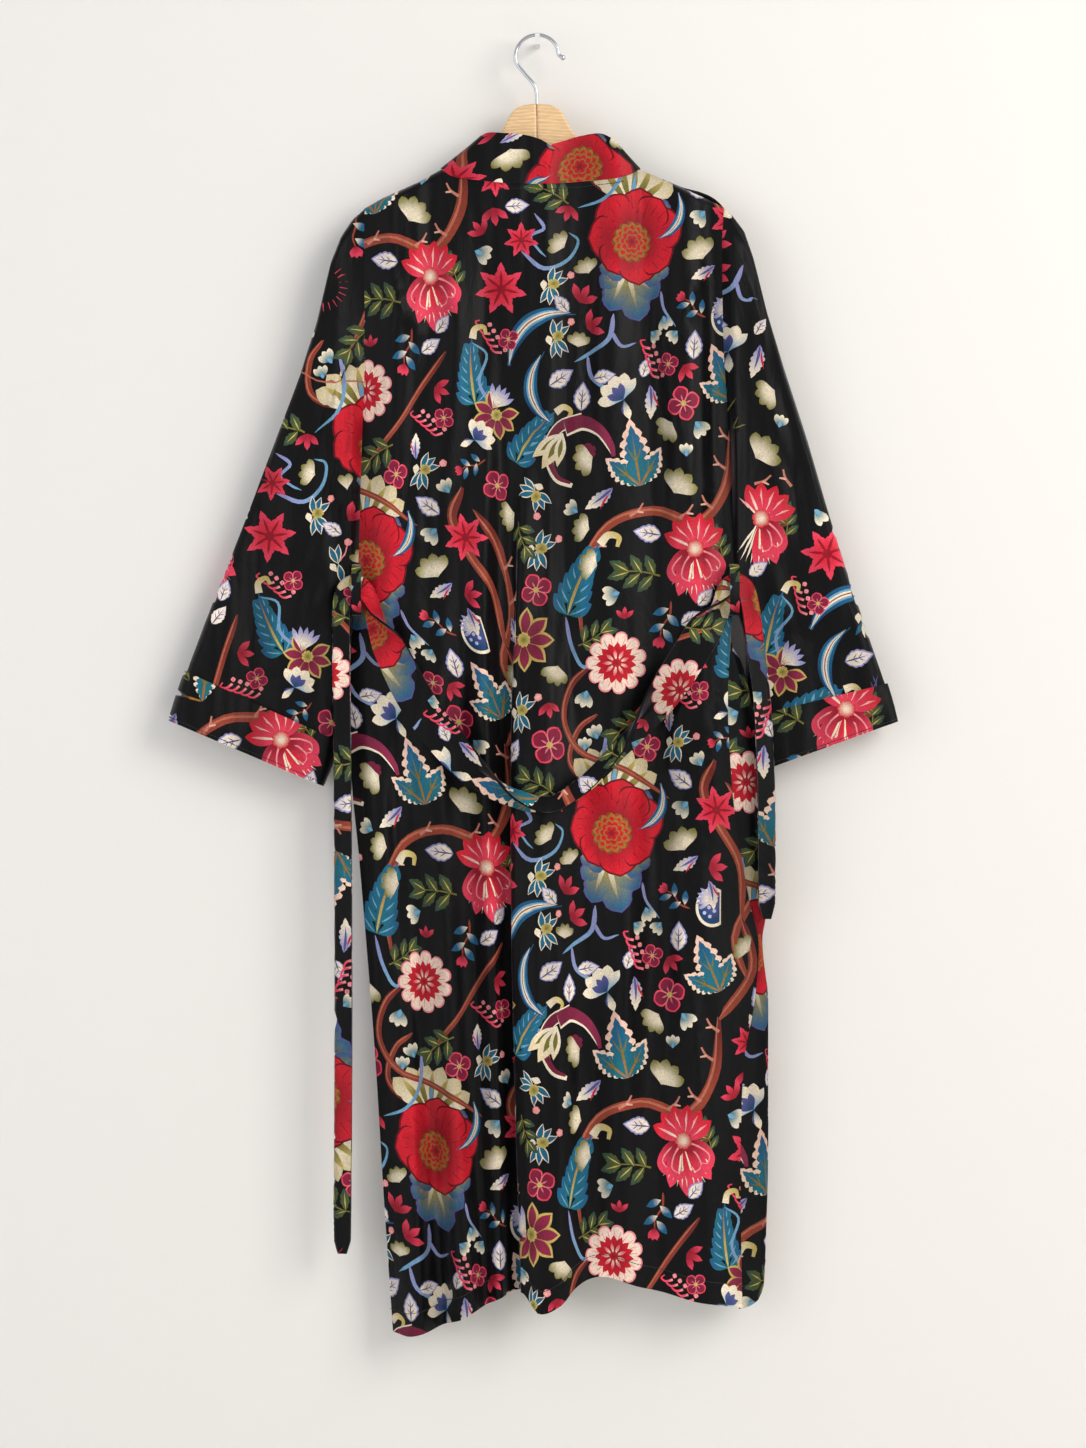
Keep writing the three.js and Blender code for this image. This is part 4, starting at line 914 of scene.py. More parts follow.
def rosette():
    """A cream flower of scalloped petals with a crimson heart."""
    drawn = [shape(scalloped(36, 11, 0.2), ROSE), shape(scalloped(34, 11, 0.22), CREAM, "#f6d9c8", (0, 0), 34)]
    for k in range(22):
        drawn += turned([shape(stroke([(0, 20), (0.6, 29)], 0.8, 0.4), PINK)], 360 * k / 22)
    drawn += petals(15, 23, 8.5, DEEP_RED, RED, foot=1, belly=0.62, teeth=2, depth=0.2)
    drawn += petals(9, 15, 4, CREAM, PINK, start=12, foot=1, belly=0.6)
    drawn.append(shape(scalloped(6, 7, 0.3), DEEP_RED, RED, (0, 0), 6))
    return drawn


def crescent():
    """A maroon crescent with a cream edge that holds an opening bud."""
    outer = [(-30, -20), (-33, 4), (-20, 27), (6, 35), (28, 25), (44, 2)]
    drawn = [shape(stroke([(-2, -38), (-22, -30), *outer[1:4]], 5, 16), CREAM)]
    drawn.append(shape(stroke([(-4, -35), (-21, -28), *outer[1:4]], 3, 13), MAROON))
    drawn.append(shape(stroke([(-14, 26), (6, 31), (27, 22), (40, 4), (43, -4)], 20, 3), CREAM))
    horn = stroke([(-14, 27), (6, 33), (27, 24), (41, 5), (44, -6)], 17, 4)
    drawn.append(shape(horn, MAROON, "#8b2a4b", (0, 30), 40))
    for degrees, length, width in ((128, 44, 16), (150, 46, 18), (172, 38, 14)):
        drawn += blade_at(degrees, length, width, CREAM, "#e6d3a6", (0, 8), 38, belly=0.5, shift=(-16, 20))
        drawn += blade_at(degrees, length * 0.6, width * 0.4, OLIVE, belly=0.5, foot=(0, 6), shift=(-16, 20))
    drawn.append(shape(scalloped(12, 7, 0.2, 0.8) + (12, 0), MAROON))
    drawn += turned(tuft(), 110, 0.9, (20, -6))
    return drawn


def tuft():
    drawn = []
    for degrees in (-50, -18, 14, 46):
        drawn += blade_at(degrees, 26, 12, CREAM, OLIVE, (0, 8), 18, belly=0.7, tip=0.7)
    return drawn


# %% Leaves
def jagged_leaf():
    """A blue leaf whose jagged edge is cream, with gold veins."""
    drawn = []
    lobes = [(0, 72, 34), (-40, 46, 26), (42, 48, 26)]
    for degrees, length, width in lobes:
        edge = shape(blade(length, width, belly=0.5, teeth=7, depth=0.3), CREAM, "#f3c9b5", (0, 0), 60)
        drawn += turned([edge], degrees)
    for degrees, length, width in lobes:
        body = shape(blade(length * 0.9, width * 0.74, belly=0.48, teeth=7, depth=0.3), TEAL, BLUE, (0, 8), 56)
        drawn += turned([body], degrees)
    for degrees, length, _ in lobes:
        drawn += blade_at(degrees, length * 0.78, 2.6, GOLD, OLIVE, (0, 0), 50, belly=0.3)
        for lean in (-26, 26):
            vein = blade_at(lean, length * 0.3, 1.6, OLIVE, belly=0.4, shift=(0, length * 0.35))
            drawn += turned(vein, degrees)
    return drawn


def feather_leaf():
    """A curling teal leaf of acanthus kind, with a straw rib and dotted lobes."""
    drawn = []
    for k in range(6):
        foot = (0.6 * k * k * 0.5, 12 * k)
        for side in (-1, 1):
            lobe = shape(blade(30 - 2 * k, 15, belly=0.6, bend=6 * side, tip=0.8), TEAL, BLUE, (0, 2), 28)
            drawn += turned([lobe], side * (64 - 6 * k), shift=foot)
            drawn += blade_at(
                side * (64 - 6 * k), 21 - 1.5 * k, 2, SKY, belly=0.5, bend=4 * side, foot=(0, 3), shift=foot
            )
    drawn.append(shape(blade(88, 12, belly=0.4, bend=14), TEAL, BLUE, (0, 0), 80))
    drawn.append(shape(blade(78, 3.4, belly=0.3, bend=10), STRAW, GOLD, (0, 0), 70))
    drawn.append(shape(stroke([(14, 84), (20, 96), (32, 96), (33, 86)], 10, 4), CREAM, STRAW, (14, 84), 24))
    return drawn


def striped_leaf():
    """A long bent leaf: blue edges, cream middle, one brown line."""
    path = [(0, 0), (6, 26), (22, 48), (46, 60), (74, 62)]
    drawn = [shape(stroke([(0, 0), (4, 20), (18, 42), (44, 57), (80, 60)], 5, 1), BLUE)]
    t = np.linspace(0, 1, 19)
    curve = smooth_curve(np.broadcast_to(np.array(path, float), t.shape + (5, 2)), t)
    along = np.gradient(curve, axis=0)
    along /= np.linalg.norm(along, axis=-1, keepdims=True)
    side = np.stack([-along[:, 1], along[:, 0]], axis=-1)
    for width, colour, rim in ((20, BLUE, DEEP_BLUE), (11, SKY, SKY), (6, CREAM, CREAM), (1.5, BROWN, BROWN)):
        half = (width / 2 * np.sin(math.pi * t) ** 0.8)[:, None]
        outline = np.concatenate([curve + side * half, (curve - side * half)[::-1][1:-1]])
        drawn.append(shape(outline, colour, rim, (36, 50), 50))
    return drawn


def veined_leaf():
    """A small cream leaf with lilac veins."""
    drawn = [shape(blade(30, 19, belly=0.42, teeth=5, depth=0.12), LILAC)]
    drawn.append(shape(blade(27, 15.5, belly=0.42, teeth=5, depth=0.12) + (0, 1), CREAM, "#ded2d8", (0, 8), 20))
    drawn.append(shape(blade(24, 1.8, belly=0.35), VIOLET))
    for lean, foot in ((-40, 8), (40, 8), (-38, 14), (38, 14)):
        drawn += blade_at(lean, 8, 1.2, VIOLET, shift=(0, foot))
    return drawn


def leaflets():
    """A spray of olive leaflets."""
    drawn = [shape(stroke([(0, 0), (2, 20), (0, 40)], 2, 1), OLIVE)]
    for degrees, foot in ((-55, 6), (55, 8), (-48, 20), (48, 22), (-20, 34), (24, 34)):
        drawn += blade_at(
            degrees, 24, 12, "#4d5a2e", "#2f4a3c", (0, 6), 20, belly=0.5, teeth=4, depth=0.2, shift=(0, foot)
        )
        drawn += blade_at(degrees, 19, 1.6, STRAW, shift=(0, foot))
    return drawn


# %% Small flowers
def iris():
    drawn = blade_at(-48, 26, 11, CREAM, SKY, (0, 22), 22, belly=0.6, bend=5)
    for degrees, width in ((-30, 14), (0, 16), (34, 14), (66, 12)):
        drawn += blade_at(degrees, 28, width, SKY, CREAM, (0, 2), 18, belly=0.66, tip=0.7)
    for degrees in (-16, 16, 50, 160):
        drawn += blade_at(degrees, 18, 8, DEEP_BLUE, VIOLET, (0, 0), 16, belly=0.6)
    drawn += blade_at(170, 22, 9, BLUE, CREAM, (0, 0), 16, belly=0.6, teeth=2, depth=0.2)
    return drawn


def gilt_flower():
    """Maroon petals with gold edges, and a lilac brush of stamens."""
    drawn = petals(7, 38, 19, GOLD, STRAW, start=18, sweep=300, belly=0.58)
    drawn += petals(7, 34, 13, MAROON, "#8f2746", start=18, sweep=300, foot=1, belly=0.58)
    drawn += turned(brush(), -34, 1.0, (-6, 10))
    drawn.append(shape(scalloped(9, 9, 0.2), OLIVE, STRAW, (0, 0), 9))
    return drawn


def brush():
    drawn = []
    for degrees in (-34, -16, 0, 16, 34):
        drawn += blade_at(degrees, 38, 8, CREAM, LILAC, (0, 8), 28, belly=0.68)
    return drawn


def pansy():
    """Four maroon petals with pink outlines."""
    drawn = petals(4, 20, 19, ROSE, PINK, start=20, belly=0.6, tip=0.7)
    drawn += petals(4, 17.5, 15, MAROON, "#8c1d3c", start=20, foot=0.8, belly=0.6, tip=0.7)
    drawn += petals(4, 9, 2, PINK, ROSE, start=20, foot=1)
    drawn.append(shape(scalloped(3.5, 5, 0.2), STRAW))
    return drawn


def star_flower():
    """A crimson flower of pointed petals."""
    drawn = petals(7, 27, 13, RED, PINK, belly=0.42, teeth=3, depth=0.25)
    drawn += petals(7, 18, 3, DEEP_RED, DEEP_RED, foot=1)
    drawn.append(shape(scalloped(5, 6, 0.25), DEEP_RED))
    return drawn


def bird_flower():
    """A small teal flower of cut petals with a straw bud and a stamen on a stalk."""
    drawn = [shape(stroke([(4, 2), (16, 5), (26, 12)], 2.4, 1.6), ROSE)]
    drawn.append(shape(scalloped(5, 5, 0.2) + (28, 14), CREAM, ROSE, (28, 14), 5))
    for degrees in (-62, -34, -6, 158, 186, 214):
        drawn += blade_at(degrees, 26, 10, CREAM, CREAM, belly=0.5, bend=3)
        drawn += blade_at(degrees, 24, 7, TEAL, BLUE, (0, 2), 22, belly=0.5, bend=3, foot=(0, 1))
    drawn.append(shape(scalloped(8, 7, 0.2, 0.9) + (5, 2), OLIVE, STRAW, (5, 2), 8))
    drawn.append(shape(blade(16, 9, belly=0.6) * (1, 0.9) + (-8, -7), CREAM))
    return drawn


def bell():
    drawn = []
    for degrees in (-28, 0, 28):
        drawn += blade_at(degrees, 18, 8, TEAL, CREAM, (0, 4), 14, belly=0.66, tip=0.7)
    drawn.append(shape(blade(9, 5), SKY))
    return drawn


def dotted_disc():
    """Half a blue disc with pale dots inside a cream rim."""
    angle = np.linspace(math.radians(60), math.radians(300), 22)
    def half(radius):
        return np.stack([radius * np.cos(angle), radius * 1.15 * np.sin(angle)], axis=-1)
    drawn = [shape(half(19), CREAM), shape(half(16), VIOLET, DEEP_BLUE, (0, 0), 16)]
    for x, z in ((-4, 0), (-9, 6), (-9, -6), (-3, 10), (-3, -10), (-13, 0), (2, 4), (2, -4)):
        drawn.append(shape(scalloped(2.1, 4, 0.05, steps=3) + (x, z), "#b9c2e4"))
    drawn += turned(brush(), 84, 0.55, (2, 8))
    return drawn


def squiggle():
    """A pink curled edging, one hook after another."""
    drawn = []
    for k in range(5):
        x, z = k * 3.5, -k * 9.0
        hook = stroke([(x, z), (x - 10, z + 3), (x - 13, z + 10), (x - 7, z + 11)], 3.2, 1.6)
        drawn.append(shape(hook, ROSE, PINK, (x, z), 14))
        berry = (x + 5, z + 3)
        drawn.append(shape(scalloped(3.2, 4, 0.1, steps=3) + berry, MAROON, ROSE, berry, 3))
    drawn += turned(pansy(), 0, 0.75, (26, -20))
    return drawn


def red_drops():
    drawn = []
    for degrees in (-46, 0, 46):
        drawn += blade_at(degrees, 22, 9, DEEP_RED, PINK, (0, 4), 18, belly=0.55, teeth=2, depth=0.15)
    return drawn


def loose_lilac_leaf():
    drawn = [shape(blade(34, 15, belly=0.5, teeth=6, depth=0.25, bend=6), LILAC, CREAM, (0, 0), 34)]
    drawn.append(shape(blade(26, 3, belly=0.4, bend=4), VIOLET))
    drawn.append(shape(blade(18, 2.4, belly=0.5, bend=-4) + (-2, 6), RED))
    return drawn


# %% Twigs and tendrils
def branch(points, start=12, end=7):
    drawn = [shape(stroke(points, start, end, taper=0.14), "#6d2620", "#93402f", points[0], 90)]
    light = [(x - start * 0.16, z + start * 0.1) for x, z in points]
    drawn.append(shape(stroke(light, start * 0.26, end * 0.22, taper=0.2), "#b3664e"))
    return drawn


def twigs(points, side=1):
    """Short pale twigs that leave a branch on one side."""
    drawn = []
    for x, z in points:
        drawn.append(shape(stroke([(x, z), (x + side * 9, z + 6), (x + side * 14, z + 14)], 3.4, 1.8), "#c27a68"))
        drawn.append(shape(stroke([(x + side * 8, z + 5), (x + side * 15, z + 4)], 2.6, 1.6), "#d9a793"))
    return drawn


def tendril(points, start=5, end=2.2, colour=None):
    return [shape(stroke(points, start, end, taper=0.15), colour or LILAC, SKY, points[0], 60)]


def sprig():
    """A thin twig with teal leaflets and a red bud."""
    drawn = [shape(stroke([(0, -20), (-3, -6), (2, 8), (0, 18)], 2.6, 1.4, taper=0.1), BROWN)]
    for degrees, foot in ((-58, -12), (62, -6), (-52, 4), (54, 9)):
        drawn += blade_at(degrees, 18, 8, CREAM, BLUE, (0, 0), 10, belly=0.5, shift=(0, foot))
    for degrees in (-24, 24, 0):
        drawn += blade_at(degrees, 13, 7, DEEP_RED, PINK, (0, 0), 11, belly=0.6, shift=(0, 16))
    return drawn


# %% [markdown]
# ### The repeat
#
# A printed cloth repeats. This one repeats every 620 mm along the cloth, and the next column of
# flowers, 300 mm to the side, is set a little over half a repeat lower. One table of motifs makes the whole cloth.

# %% One repeat: motif, x and z from the peony in millimetres, turn in degrees, size
REPEAT_LENGTH = 620
NEXT_COLUMN = (-300, -334)
MOTIFS = [
    (leaflets, 30, -505, 120, 0.9), (leaflets, -44, -430, -60, 0.8), (leaflets, 110, -340, 20, 0.7),
    (peony, 0, 0, 0, 1.0),
    (striped_blossom, 78, -328, 6, 1.0),
    (rosette, -2, -448, 0, 0.92),
    (jagged_leaf, 14, -262, 12, 1.0),
    (jagged_leaf, 118, -172, 24, 0.9),
    (feather_leaf, -58, -398, -14, 0.95),
    (feather_leaf, -126, -238, -30, 0.8),
    (crescent, -58, -226, 0, 0.95),
    (striped_leaf, -136, -136, 0, 0.9),
    (striped_leaf, -88, -196, 60, 0.75),
    (iris, -8, -172, 30, 1.0),
    (veined_leaf, -42, -150, -80, 0.85), (veined_leaf, 12, -148, -16, 0.75),
    (bird_flower, -92, -52, 0, 0.8), (bird_flower, -86, -108, 20, 0.8), (bird_flower, -96, -330, 0, 0.85),
    (bird_flower, -112, -500, 10, 0.85), (bird_flower, 66, 88, -10, 0.8),
    (gilt_flower, -108, -424, 80, 0.9),
    (dotted_disc, 108, -84, 0, 0.95),
    (loose_lilac_leaf, 92, -30, 130, 0.9), (loose_lilac_leaf, 104, -56, 200, 0.9),
    (loose_lilac_leaf, -142, -400, 190, 0.8), (loose_lilac_leaf, 60, -520, 10, 0.8),
    (star_flower, 112, 18, 10, 0.95), (star_flower, -150, -560, 30, 0.7),
    (pansy, 62, -176, 0, 0.95), (pansy, -150, -262, 10, 0.85),
    (squiggle, 20, -118, 0, 0.85), (squiggle, -160, -96, 10, 0.8),
    (bell, 34, -84, 200, 0.9), (bell, 52, -100, 140, 0.8), (bell, 20, -100, 230, 0.8),
    (bell, 96, -556, 30, 0.9), (bell, -34, -540, 0, 0.8),
    (red_drops, -152, 30, 190, 0.9), (red_drops, 4, -402, 0, 0.6), (red_drops, -70, -588, 160, 0.8),
    (tuft, -28, -346, 80, 0.8),
    (feather_leaf, -172, -176, 12, 0.8), (loose_lilac_leaf, -136, 66, 40, 0.8),
    (gilt_flower, 150, -474, 0, 0.7), (iris, 126, -500, -60, 0.8), (pansy, 34, 84, 0, 0.8),
    (leaflets, -72, 34, 60, 0.9), (bell, -52, -290, 60, 0.9), (bell, 66, -232, 0, 0.8),
    (red_drops, 138, -284, 40, 0.8), (squiggle, 66, -474, 30, 0.8), (striped_leaf, 50, -574, 205, 0.55),
    (star_flower, -122, -4, 0, 0.7), (veined_leaf, -72, -80, 40, 0.8), (veined_leaf, 84, -388, -40, 0.8),
    (tuft, 148, -130, 60, 0.7), (leaflets, -120, -300, 200, 0.8), (bell, -20, 92, 20, 0.9),
]
# Lines: kind, width at the start and the end, and the points they run through.
LINES = [
    ("branch", 12, 8, [(112, 70), (98, 40), (112, 6), (138, -40), (140, -96)]),
    ("branch", 13, 7, [(118, -200), (112, -262), (82, -300), (30, -288), (-18, -304), (-46, -360), (-40, -420)]),
    ("branch", 9, 6, [(82, -300), (104, -322), (84, -338)]),
    ("branch", 9, 11, [(140, -96), (152, -150), (118, -202)]),
    ("branch", 8, 5, [(-30, 44), (-52, 70), (-40, 104), (-20, 118)]),
    ("tendril", 5, 2, [(-122, -16), (-98, -34), (-72, -24), (-62, -4), (-72, 4)]),
    ("tendril", 4, 2, [(150, -470), (132, -440), (140, -410), (124, -398)]),
    ("branch", 12, 7, [(-176, -288), (-150, -330), (-140, -390), (-168, -450), (-150, -500)]),
    ("branch", 8, 6, [(-28, -450), (-50, -470), (-60, -506), (-40, -540), (10, -560), (60, -590)]),
    ("branch", 7, 5, [(96, -408), (70, -440), (40, -480), (4, -520)]),
    ("tendril", 6, 3, [(-22, -82), (-26, -108), (-46, -122), (-64, -132)]),
    ("tendril", 5, 2, [(-24, -100), (-12, -116), (4, -112)]),
    ("tendril", 5, 3, [(-50, -124), (-44, -148), (-20, -164), (-8, -172)]),
    ("tendril", 4, 2, [(30, -58), (34, -76), (50, -96)]),
    ("tendril", 4, 2, [(-108, 24), (-98, 8), (-112, 0), (-104, -14), (-96, -22)]),
    ("tendril", 5, 3, [(-104, -206), (-84, -214), (-78, -204)]),
    ("tendril", 5, 2.4, [(-10, -520), (-16, -556), (-34, -580), (-62, -590)]),
    ("tendril", 5, 3, [(-60, -400), (-52, -430), (-38, -452), (-30, -450)]),
]
TWIGS = [
    ([(118, -214), (112, -244), (98, -286)], -1), ([(60, -296), (4, -294), (-34, -330)], 1),
    ([(-146, -350), (-142, -386)], 1),
]


def repeat_unit():
    drawn = []
    for kind, start, end, points in LINES:
        drawn += branch(points, start, end) if kind == "branch" else tendril(points, start, end)
    for points, side in TWIGS:
        drawn += twigs(points, side)
    for motif, x, z, degrees, size in MOTIFS:
        drawn += turned(motif(), degrees, size, (x, z))
    return thinned(drawn)


def thinned(drawn):
    return [(simplified(points), *rest) for points, *rest in drawn]


# %% Small flowers fill the bare ground: motifs for a bare round of at least so many millimetres
FILLERS = (
    (27, (star_flower, leaflets, sprig, bird_flower)),
    (19, (sprig, loose_lilac_leaf, pansy, veined_leaf, tuft)),
    (13, (bell, red_drops, veined_leaf, tuft)),
)


def fill_bare_ground(drawn):
    """Puts the next small motif in the widest bare round of the repeat, until none is wide enough."""
    moves = [np.array(NEXT_COLUMN) * i + (0, REPEAT_LENGTH * j) for i in (-1, 0, 1) for j in (-2, -1, 0, 1, 2)]
    spots = np.stack(np.meshgrid(np.arange(-150, 150, 6.0), np.arange(-600, 20, 6.0)), axis=-1).reshape(-1, 2)
    bare = np.full(len(spots), 1e9)

    def cover(outlines):
        points = np.concatenate([outline[0] for outline in outlines])
        for move in moves:
            near = points + move
            near = near[(np.abs(near[:, 0]) < 200) & (near[:, 1] > -650) & (near[:, 1] < 70)]
            for part in np.array_split(near, len(near) // 400 + 1):
                if len(part):
                    np.minimum(bare, np.linalg.norm(spots[:, None] - part, axis=-1).min(axis=1), out=bare)

    cover(drawn)
    for step in range(40):
        spot, gap = spots[bare.argmax()], bare.max()
        kinds = next((kinds for least, kinds in FILLERS if gap > least), None)
        if kinds is None:
            break
        motif = turned(kinds[step % len(kinds)](), 83 * step)
        points = np.concatenate([outline[0] for outline in motif])
        middle = (points.min(axis=0) + points.max(axis=0)) / 2
        size = min(1.05, 0.92 * gap / np.linalg.norm(points - middle, axis=1).max())
        placed = thinned(turned(motif, 0, size, spot - middle * size))
        cover(placed)
        bare[np.linalg.norm(spots - spot, axis=1) < 0.7 * gap] = 0
        drawn = drawn + placed
    return drawn


UNIT = fill_bare_ground(repeat_unit())
UNIT_MIDDLES = np.array([outline[0].mean(axis=0) for outline in UNIT])
UNIT_REACH = np.array([[np.linalg.norm(o[0] - m, axis=1).max()] for o, m in zip(UNIT, UNIT_MIDDLES)])
print("the repeat has", len(UNIT), "outlines and", sum(len(s[0]) for s in UNIT), "points")

# %% [markdown]
# ## Cutting the cloth
#
# Each piece knows where every point of its flat cut comes to hang. The print is laid on the flat cut,
# carried back to the piece's own shares, and triangulated with a grid that is fine enough for the
# folds. The plain inner side is a coarser grid, and a narrow rim closes the wall's edges.

# %% The flat cut of a piece
class FlatCut:
    """Flat cloth coordinates, in millimetres, on an even grid of shares across and along a piece."""

    def __init__(self, surface, to_flat, columns=180, rows=140):
        self.columns, self.rows = columns, rows
        self.share, self.along = np.meshgrid(np.linspace(0, 1, columns), np.linspace(0, 1, rows))
        self.flat = to_flat(self, surface(self.share, self.along))

    def at(self, share, along):
        x, y = share * (self.columns - 1), along * (self.rows - 1)
        i = np.clip(x.astype(int), 0, self.columns - 2)
        j = np.clip(y.astype(int), 0, self.rows - 2)
        fx, fy = (x - i)[..., None], (y - j)[..., None]
        upper = mix(self.flat[j, i], self.flat[j, i + 1], fx)
        return mix(upper, mix(self.flat[j + 1, i], self.flat[j + 1, i + 1], fx), fy)

    def find(self, points):
        """The shares whose flat place is at each point, by Newton's steps from the nearest sample."""
        coarse = self.flat[::6, ::6].reshape(-1, 2)
        start = np.stack([self.share[::6, ::6].ravel(), self.along[::6, ::6].ravel()], axis=-1)
        guess = np.empty_like(points)
        for first in range(0, len(points), 4000):
            block = points[first : first + 4000]
            distance = np.sum((block[:, None, :] - coarse[None]) ** 2, axis=-1)
            guess[first : first + 4000] = start[np.argmin(distance, axis=1)]
        h = 0.004
        for _ in range(16):
            here = self.at(guess[:, 0], guess[:, 1])
            by_share = (self.at(guess[:, 0] + h, guess[:, 1]) - self.at(guess[:, 0] - h, guess[:, 1])) / (2 * h)
            by_along = (self.at(guess[:, 0], guess[:, 1] + h) - self.at(guess[:, 0], guess[:, 1] - h)) / (2 * h)
            left = points - here
            det = by_share[:, 0] * by_along[:, 1] - by_share[:, 1] * by_along[:, 0]
            det = np.where(np.abs(det) < 1e-6, 1e-6, det)
            ds = (left[:, 0] * by_along[:, 1] - left[:, 1] * by_along[:, 0]) / det
            da = (by_share[:, 0] * left[:, 1] - by_share[:, 1] * left[:, 0]) / det
            guess = guess + np.clip(np.stack([ds, da], axis=-1), -0.25, 0.25)
            guess = np.clip(guess, -3, 4)
        missed = np.linalg.norm(points - self.at(guess[:, 0], guess[:, 1]), axis=-1)
        return guess, missed


def row_lengths(points):
    steps = np.linalg.norm(np.diff(points, axis=1), axis=-1)
    return np.concatenate([np.zeros((len(points), 1)), np.cumsum(steps, axis=1)], axis=1)


def hanging_cut(reference):
    """A piece with its grain upright: lengths along each level from a reference share, and the height."""

    def to_flat(cut, points):
        lengths = row_lengths(points)
        start = np.stack([np.interp(reference, np.linspace(0, 1, cut.columns), row) for row in lengths])
        return np.stack([lengths - start[:, None], points[..., 2]], axis=-1)

    return to_flat


def strip_cut(cut, points):
    """A strip: its width across, and the length along its middle."""
    across = row_lengths(points)
    along = row_lengths(points.transpose(1, 0, 2))[cut.columns // 2]
    return np.stack([across - across[:, -1:] / 2, np.broadcast_to(-along[:, None], across.shape)], axis=-1)


def sleeve_cut(line):
    """A sleeve laid flat and opened along its underarm: the front half lies mirrored beyond the top fold."""
    (x0, z0), (x1, z1) = line

    def to_flat(cut, points):
        flat = points[..., [0, 2]]
        way = np.array([x1 - x0, z1 - z0]) / math.hypot(x1 - x0, z1 - z0)
        from_line = flat - (x0, z0)
        beside = from_line - np.sum(from_line * way, axis=-1, keepdims=True) * way
        return np.where((cut.share < 0.5)[..., None], flat - 2 * beside, flat)

    return to_flat


# %% Laying the print on a flat cut
def repeat_copies(low, high, shift, degrees):
    """The repeat's outlines wherever they reach the flat cut's box."""
    angle = math.radians(degrees)
    spin = np.array([[math.cos(angle), math.sin(angle)], [-math.sin(angle), math.cos(angle)]])
    copies = []
    for column in range(-5, 6):
        for row in range(-6, 7):
            move = np.array([column * NEXT_COLUMN[0], column * NEXT_COLUMN[1] + row * REPEAT_LENGTH])
            middles = (UNIT_MIDDLES + move) @ spin + shift
            near = ((middles + UNIT_REACH > low) & (middles - UNIT_REACH < high)).all(axis=1)
            for k in np.flatnonzero(near):
                points, colour, rim, centre, size = UNIT[k]
                moved = (points + move) @ spin + shift
                copies.append((moved, colour, rim, (np.asarray(centre) + move) @ spin + shift, size))
    return copies


def wall_mesh(name, corners, normals, triangles, colours, materials, indices):
    """A mesh from arrays, with its own corner normals and the print's colours."""
    mesh = bpy.data.meshes.new(name)
    mesh.vertices.add(len(corners))
    mesh.vertices.foreach_set("co", (corners * MM).astype(np.float32).ravel())
    loops = triangles.ravel().astype(np.int32)
    mesh.loops.add(len(loops))
    mesh.loops.foreach_set("vertex_index", loops)
    count = len(loops) // 3
    mesh.polygons.add(count)
    mesh.polygons.foreach_set("loop_start", np.arange(0, 3 * count, 3, dtype=np.int32))
    mesh.polygons.foreach_set("material_index", indices.astype(np.int32))
    for material in materials:
        mesh.materials.append(material)
    mesh.update(calc_edges=True)
    mesh.validate()
    attribute = mesh.color_attributes.new("print", "FLOAT_COLOR", "CORNER")
    attribute.data.foreach_set("color", colours.astype(np.float32).ravel())
    mesh.polygons.foreach_set("use_smooth", np.ones(count, bool))
    mesh.normals_split_custom_set([tuple(n) for n in normals[loops]])
    made = bpy.data.objects.new(name, mesh)
    bpy.context.scene.collection.objects.link(made)
    return made


def grid_lines(count, extra=()):
    return np.unique(np.concatenate([np.linspace(0, 1, count + 1), np.asarray(extra, float)]))


def inside(outline, points):
    """Whether points lie within an outline, by how often it winds round them."""
    x, y = points[:, 0, None], points[:, 1, None]
    x0, y0 = outline.T
    x1, y1 = np.roll(outline, -1, axis=0).T
    left = (x1 - x0) * (y - y0) - (x - x0) * (y1 - y0)
    up = (y0 <= y) & (y1 > y) & (left > 0)
    down = (y0 > y) & (y1 <= y) & (left < 0)
    return up.sum(axis=1) != down.sum(axis=1)


